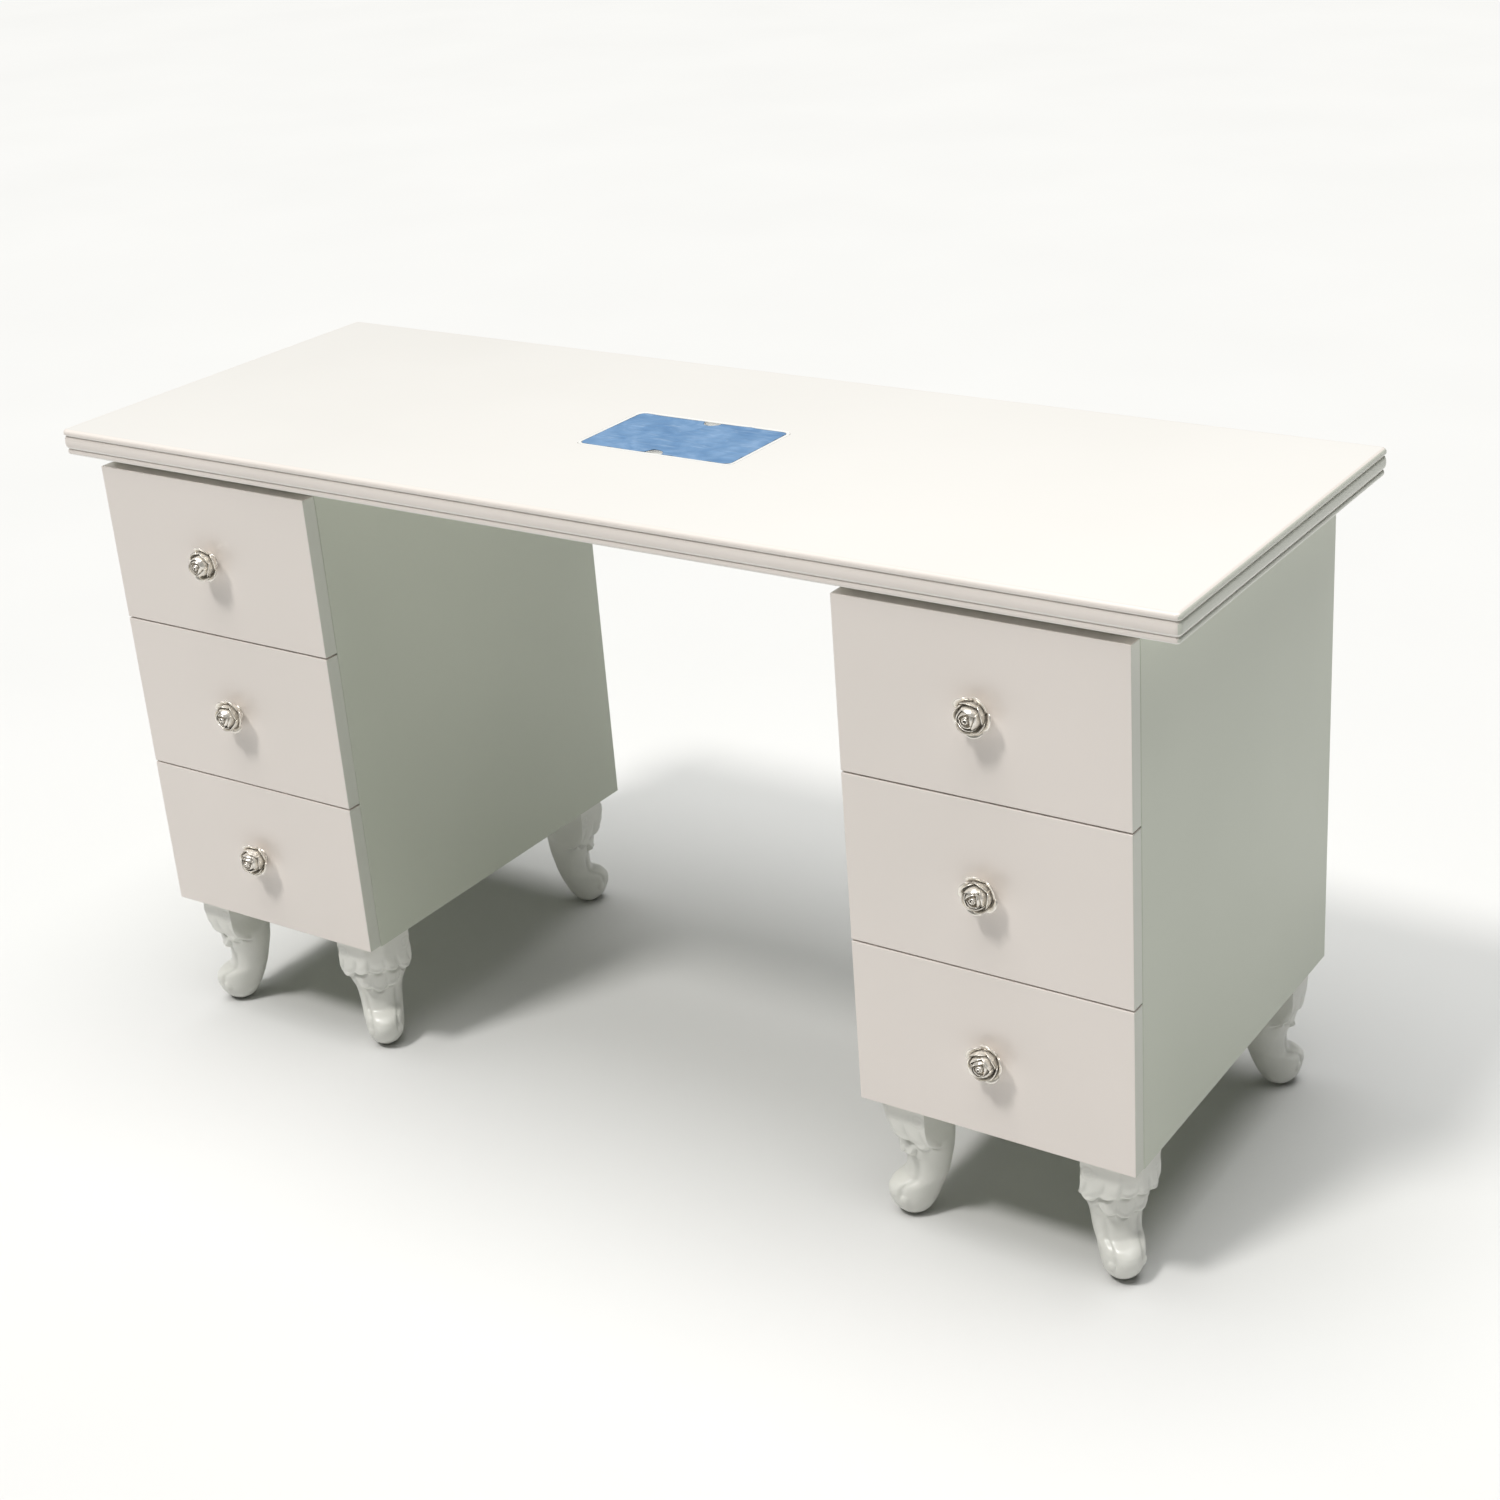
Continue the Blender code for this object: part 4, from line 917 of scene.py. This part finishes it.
def place_screws(name, mesh, body, places, axis):
    """Screw heads facing along an axis; each gets its own turn of the cross."""
    facing = Vector(axis).to_track_quat("Z", "Y")
    for number, place in enumerate(places):
        screw = bpy.data.objects.new(f"{name}_{number + 1}", mesh)
        bpy.context.scene.collection.objects.link(screw)
        spin = Matrix.Rotation(math.radians(37 * number + 11), 4, "Z")
        screw.matrix_world = Matrix.Translation(Vector(place)) @ facing.to_matrix().to_4x4() @ spin
        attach(screw, body)


def make_fasteners():
    """The screws that show: in the back panels, behind the drawer fronts, under the housing."""
    wood_screw = screw_mesh("wood_screw", 3.9 * MM)
    small_screw = screw_mesh("small_screw", 2.6 * MM)
    for side in SIDES:
        low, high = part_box(f"{side}_back_panel")
        heights = (low.z + BACK_SCREW_END, (low.z + high.z) / 2, high.z - BACK_SCREW_END)
        columns = (low.x + BACK_SCREW_INSET, high.x - BACK_SCREW_INSET)
        places = [(x, high.y + SCREW_LIFT, z) for z in heights for x in columns]
        place_screws(f"{side}_back_panel_screw", wood_screw, "table", places, (0, 1, 0))
        for level in LEVELS:
            body = f"{side}_{level}_drawer"
            low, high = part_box(f"{side}_{level}_drawer_box")
            face = low.y + DRAWER_WALL + SCREW_LIFT
            height = (low.z + high.z) / 2 + FRONT_SCREW_RISE
            places = [(x, face, height) for x in (low.x + FRONT_SCREW_INSET, high.x - FRONT_SCREW_INSET)]
            place_screws(f"{side}_{level}_front_screw", wood_screw, body, places, (0, 1, 0))
            low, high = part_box(f"{side}_{level}_knob")
            places = [((low.x + high.x) / 2, face, (low.z + high.z) / 2)]
            place_screws(f"{side}_{level}_knob_screw", wood_screw, body, places, (0, 1, 0))
    low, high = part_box("fan_housing")
    rim = high.z - HOUSING_FLANGE
    columns = (low.x + HOUSING_SCREW_INSET, (low.x + high.x) / 2, high.x - HOUSING_SCREW_INSET)
    rows = (low.y + HOUSING_SCREW_INSET, high.y - HOUSING_SCREW_INSET)
    places = [(x, y, rim) for x in columns for y in rows]
    place_screws("housing_screw", small_screw, "table", places, (0, 0, -1))


# ---------------------------------------------------------------- CAD nodes
BOARD_EDGE = 0.7 * MM
RUNNER_EDGE = 0.8 * MM


def dress(node, material, bevel=0.0):
    """A CAD node keeps its shape; it gets a material and, on a board, eased edges."""
    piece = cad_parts[node]
    piece.data.materials.clear()
    piece.data.materials.append(material)
    if bevel:
        eased = piece.modifiers.new("eased_edges", "BEVEL")
        eased.width = bevel
        eased.segments = 2
        eased.limit_method = "ANGLE"
        eased.angle_limit = math.radians(50)
        weighted_normals(piece)


def dress_frame():
    """Materials for the CAD nodes that stay in view."""
    for side in SIDES:
        for panel in ("outer_side", "inner_side", "bottom", "top", "back"):
            # The carcass panels take painted shade: the darker, greenish copy of the white lacquer.
            dress(f"{side}_{panel}_panel", CARCASS_PAINTED_SHADE, BOARD_EDGE)
        for level in LEVELS:
            dress(f"{side}_{level}_drawer_box", LINER)
            for column in ("outer", "inner"):
                dress(f"{side}_{level}_{column}_runner", RUNNER, RUNNER_EDGE)
    for node, material in (("vent_tray", TRAY), ("vent_cover", COVER), ("filter_mat", FELT),
                           ("fan_frame", BLACK), ("fan_rotor", BLACK), ("fan_guard", BLACK),
                           ("fan_housing", HOUSING), ("power_inlet", BLACK), ("rocker_switch", BLACK)):
        dress(node, material)


# ---------------------------------------------------------------- studio
FRAME_PIXELS = 1500
FOCAL_PIXELS = 2442.2
AXIS_PIXEL = (840, 700)
SENSOR = 36.0
VIEW_DISTANCE = 200.0
CAMERA_PLACE = Vector((1.5208, -2.0198, 1.5393))
CAMERA_AZIMUTH = math.radians(33.41)
CAMERA_PITCH = math.radians(23.653)
CAMERA_ROLL = math.radians(-3.522)
FLOOR_REACH = 60.0
ROOM_COLOUR = (0.95, 1.0, 0.95, 1.0)
ROOM_STRENGTH = 0.07


def make_camera():
    """A camera that looks down at the table from its right front, rolled a little."""
    data = bpy.data.cameras.new("camera")
    data.sensor_width = SENSOR
    data.lens = FOCAL_PIXELS / FRAME_PIXELS * SENSOR
    data.shift_x = (FRAME_PIXELS / 2 - AXIS_PIXEL[0]) / FRAME_PIXELS
    data.shift_y = (AXIS_PIXEL[1] - FRAME_PIXELS / 2) / FRAME_PIXELS
    data.clip_end = VIEW_DISTANCE
    camera = bpy.data.objects.new("camera", data)
    bpy.context.scene.collection.objects.link(camera)
    level_right = Vector((math.cos(CAMERA_AZIMUTH), math.sin(CAMERA_AZIMUTH), 0.0))
    ahead = Vector((-math.sin(CAMERA_AZIMUTH) * math.cos(CAMERA_PITCH),
                    math.cos(CAMERA_AZIMUTH) * math.cos(CAMERA_PITCH), -math.sin(CAMERA_PITCH)))
    level_up = level_right.cross(ahead)
    right = math.cos(CAMERA_ROLL) * level_right + math.sin(CAMERA_ROLL) * level_up
    up = right.cross(ahead)
    turn = Matrix((right, up, -ahead)).transposed()
    camera.matrix_world = Matrix.Translation(CAMERA_PLACE) @ turn.to_4x4()
    bpy.context.scene.camera = camera


def make_sun(name, towards, strength, spread, colour):
    """A distant soft light; `towards` points from the table to the light."""
    data = bpy.data.lights.new(name, "SUN")
    data.energy = strength
    data.angle = math.radians(spread)
    data.color = colour
    light = bpy.data.objects.new(name, data)
    bpy.context.scene.collection.objects.link(light)
    light.rotation_mode = "QUATERNION"
    light.rotation_quaternion = Vector(towards).to_track_quat("Z", "Y")


def make_studio():
    """Pale floor, an even pale room, a key from the upper front left and a broad top light."""
    pale = Shader("pale_floor", roughness=0.85)
    tint = pale.noise(1.5, 2.0)
    pale.colour(pale.ramp(tint, (0.3, (0.675, 0.675, 0.668)), (0.7, (0.69, 0.69, 0.683))))
    corners = [(x * FLOOR_REACH, y * FLOOR_REACH, 0) for x, y in ((-1, -1), (1, -1), (1, 1), (-1, 1))]
    floor = mesh_object("floor", corners, [(0, 1, 2, 3)], pale.material)
    world = bpy.data.worlds.new("room")
    world.use_nodes = True
    background = world.node_tree.nodes["Background"]
    background.inputs["Color"].default_value = ROOM_COLOUR
    background.inputs["Strength"].default_value = ROOM_STRENGTH
    bpy.context.scene.world = world
    make_sun("key", (-9, -22, 42), 1.60, 9, (1.0, 0.98, 0.955))
    make_sun("top", (0, 0, 1), 2.9, 50, (1.0, 1.0, 0.99))
    bpy.context.scene.view_settings.view_transform = "Standard"


make_tabletop()
make_drawer_fronts()
make_legs()
make_knobs()
make_film()
make_fasteners()
dress_frame()
make_camera()
make_studio()
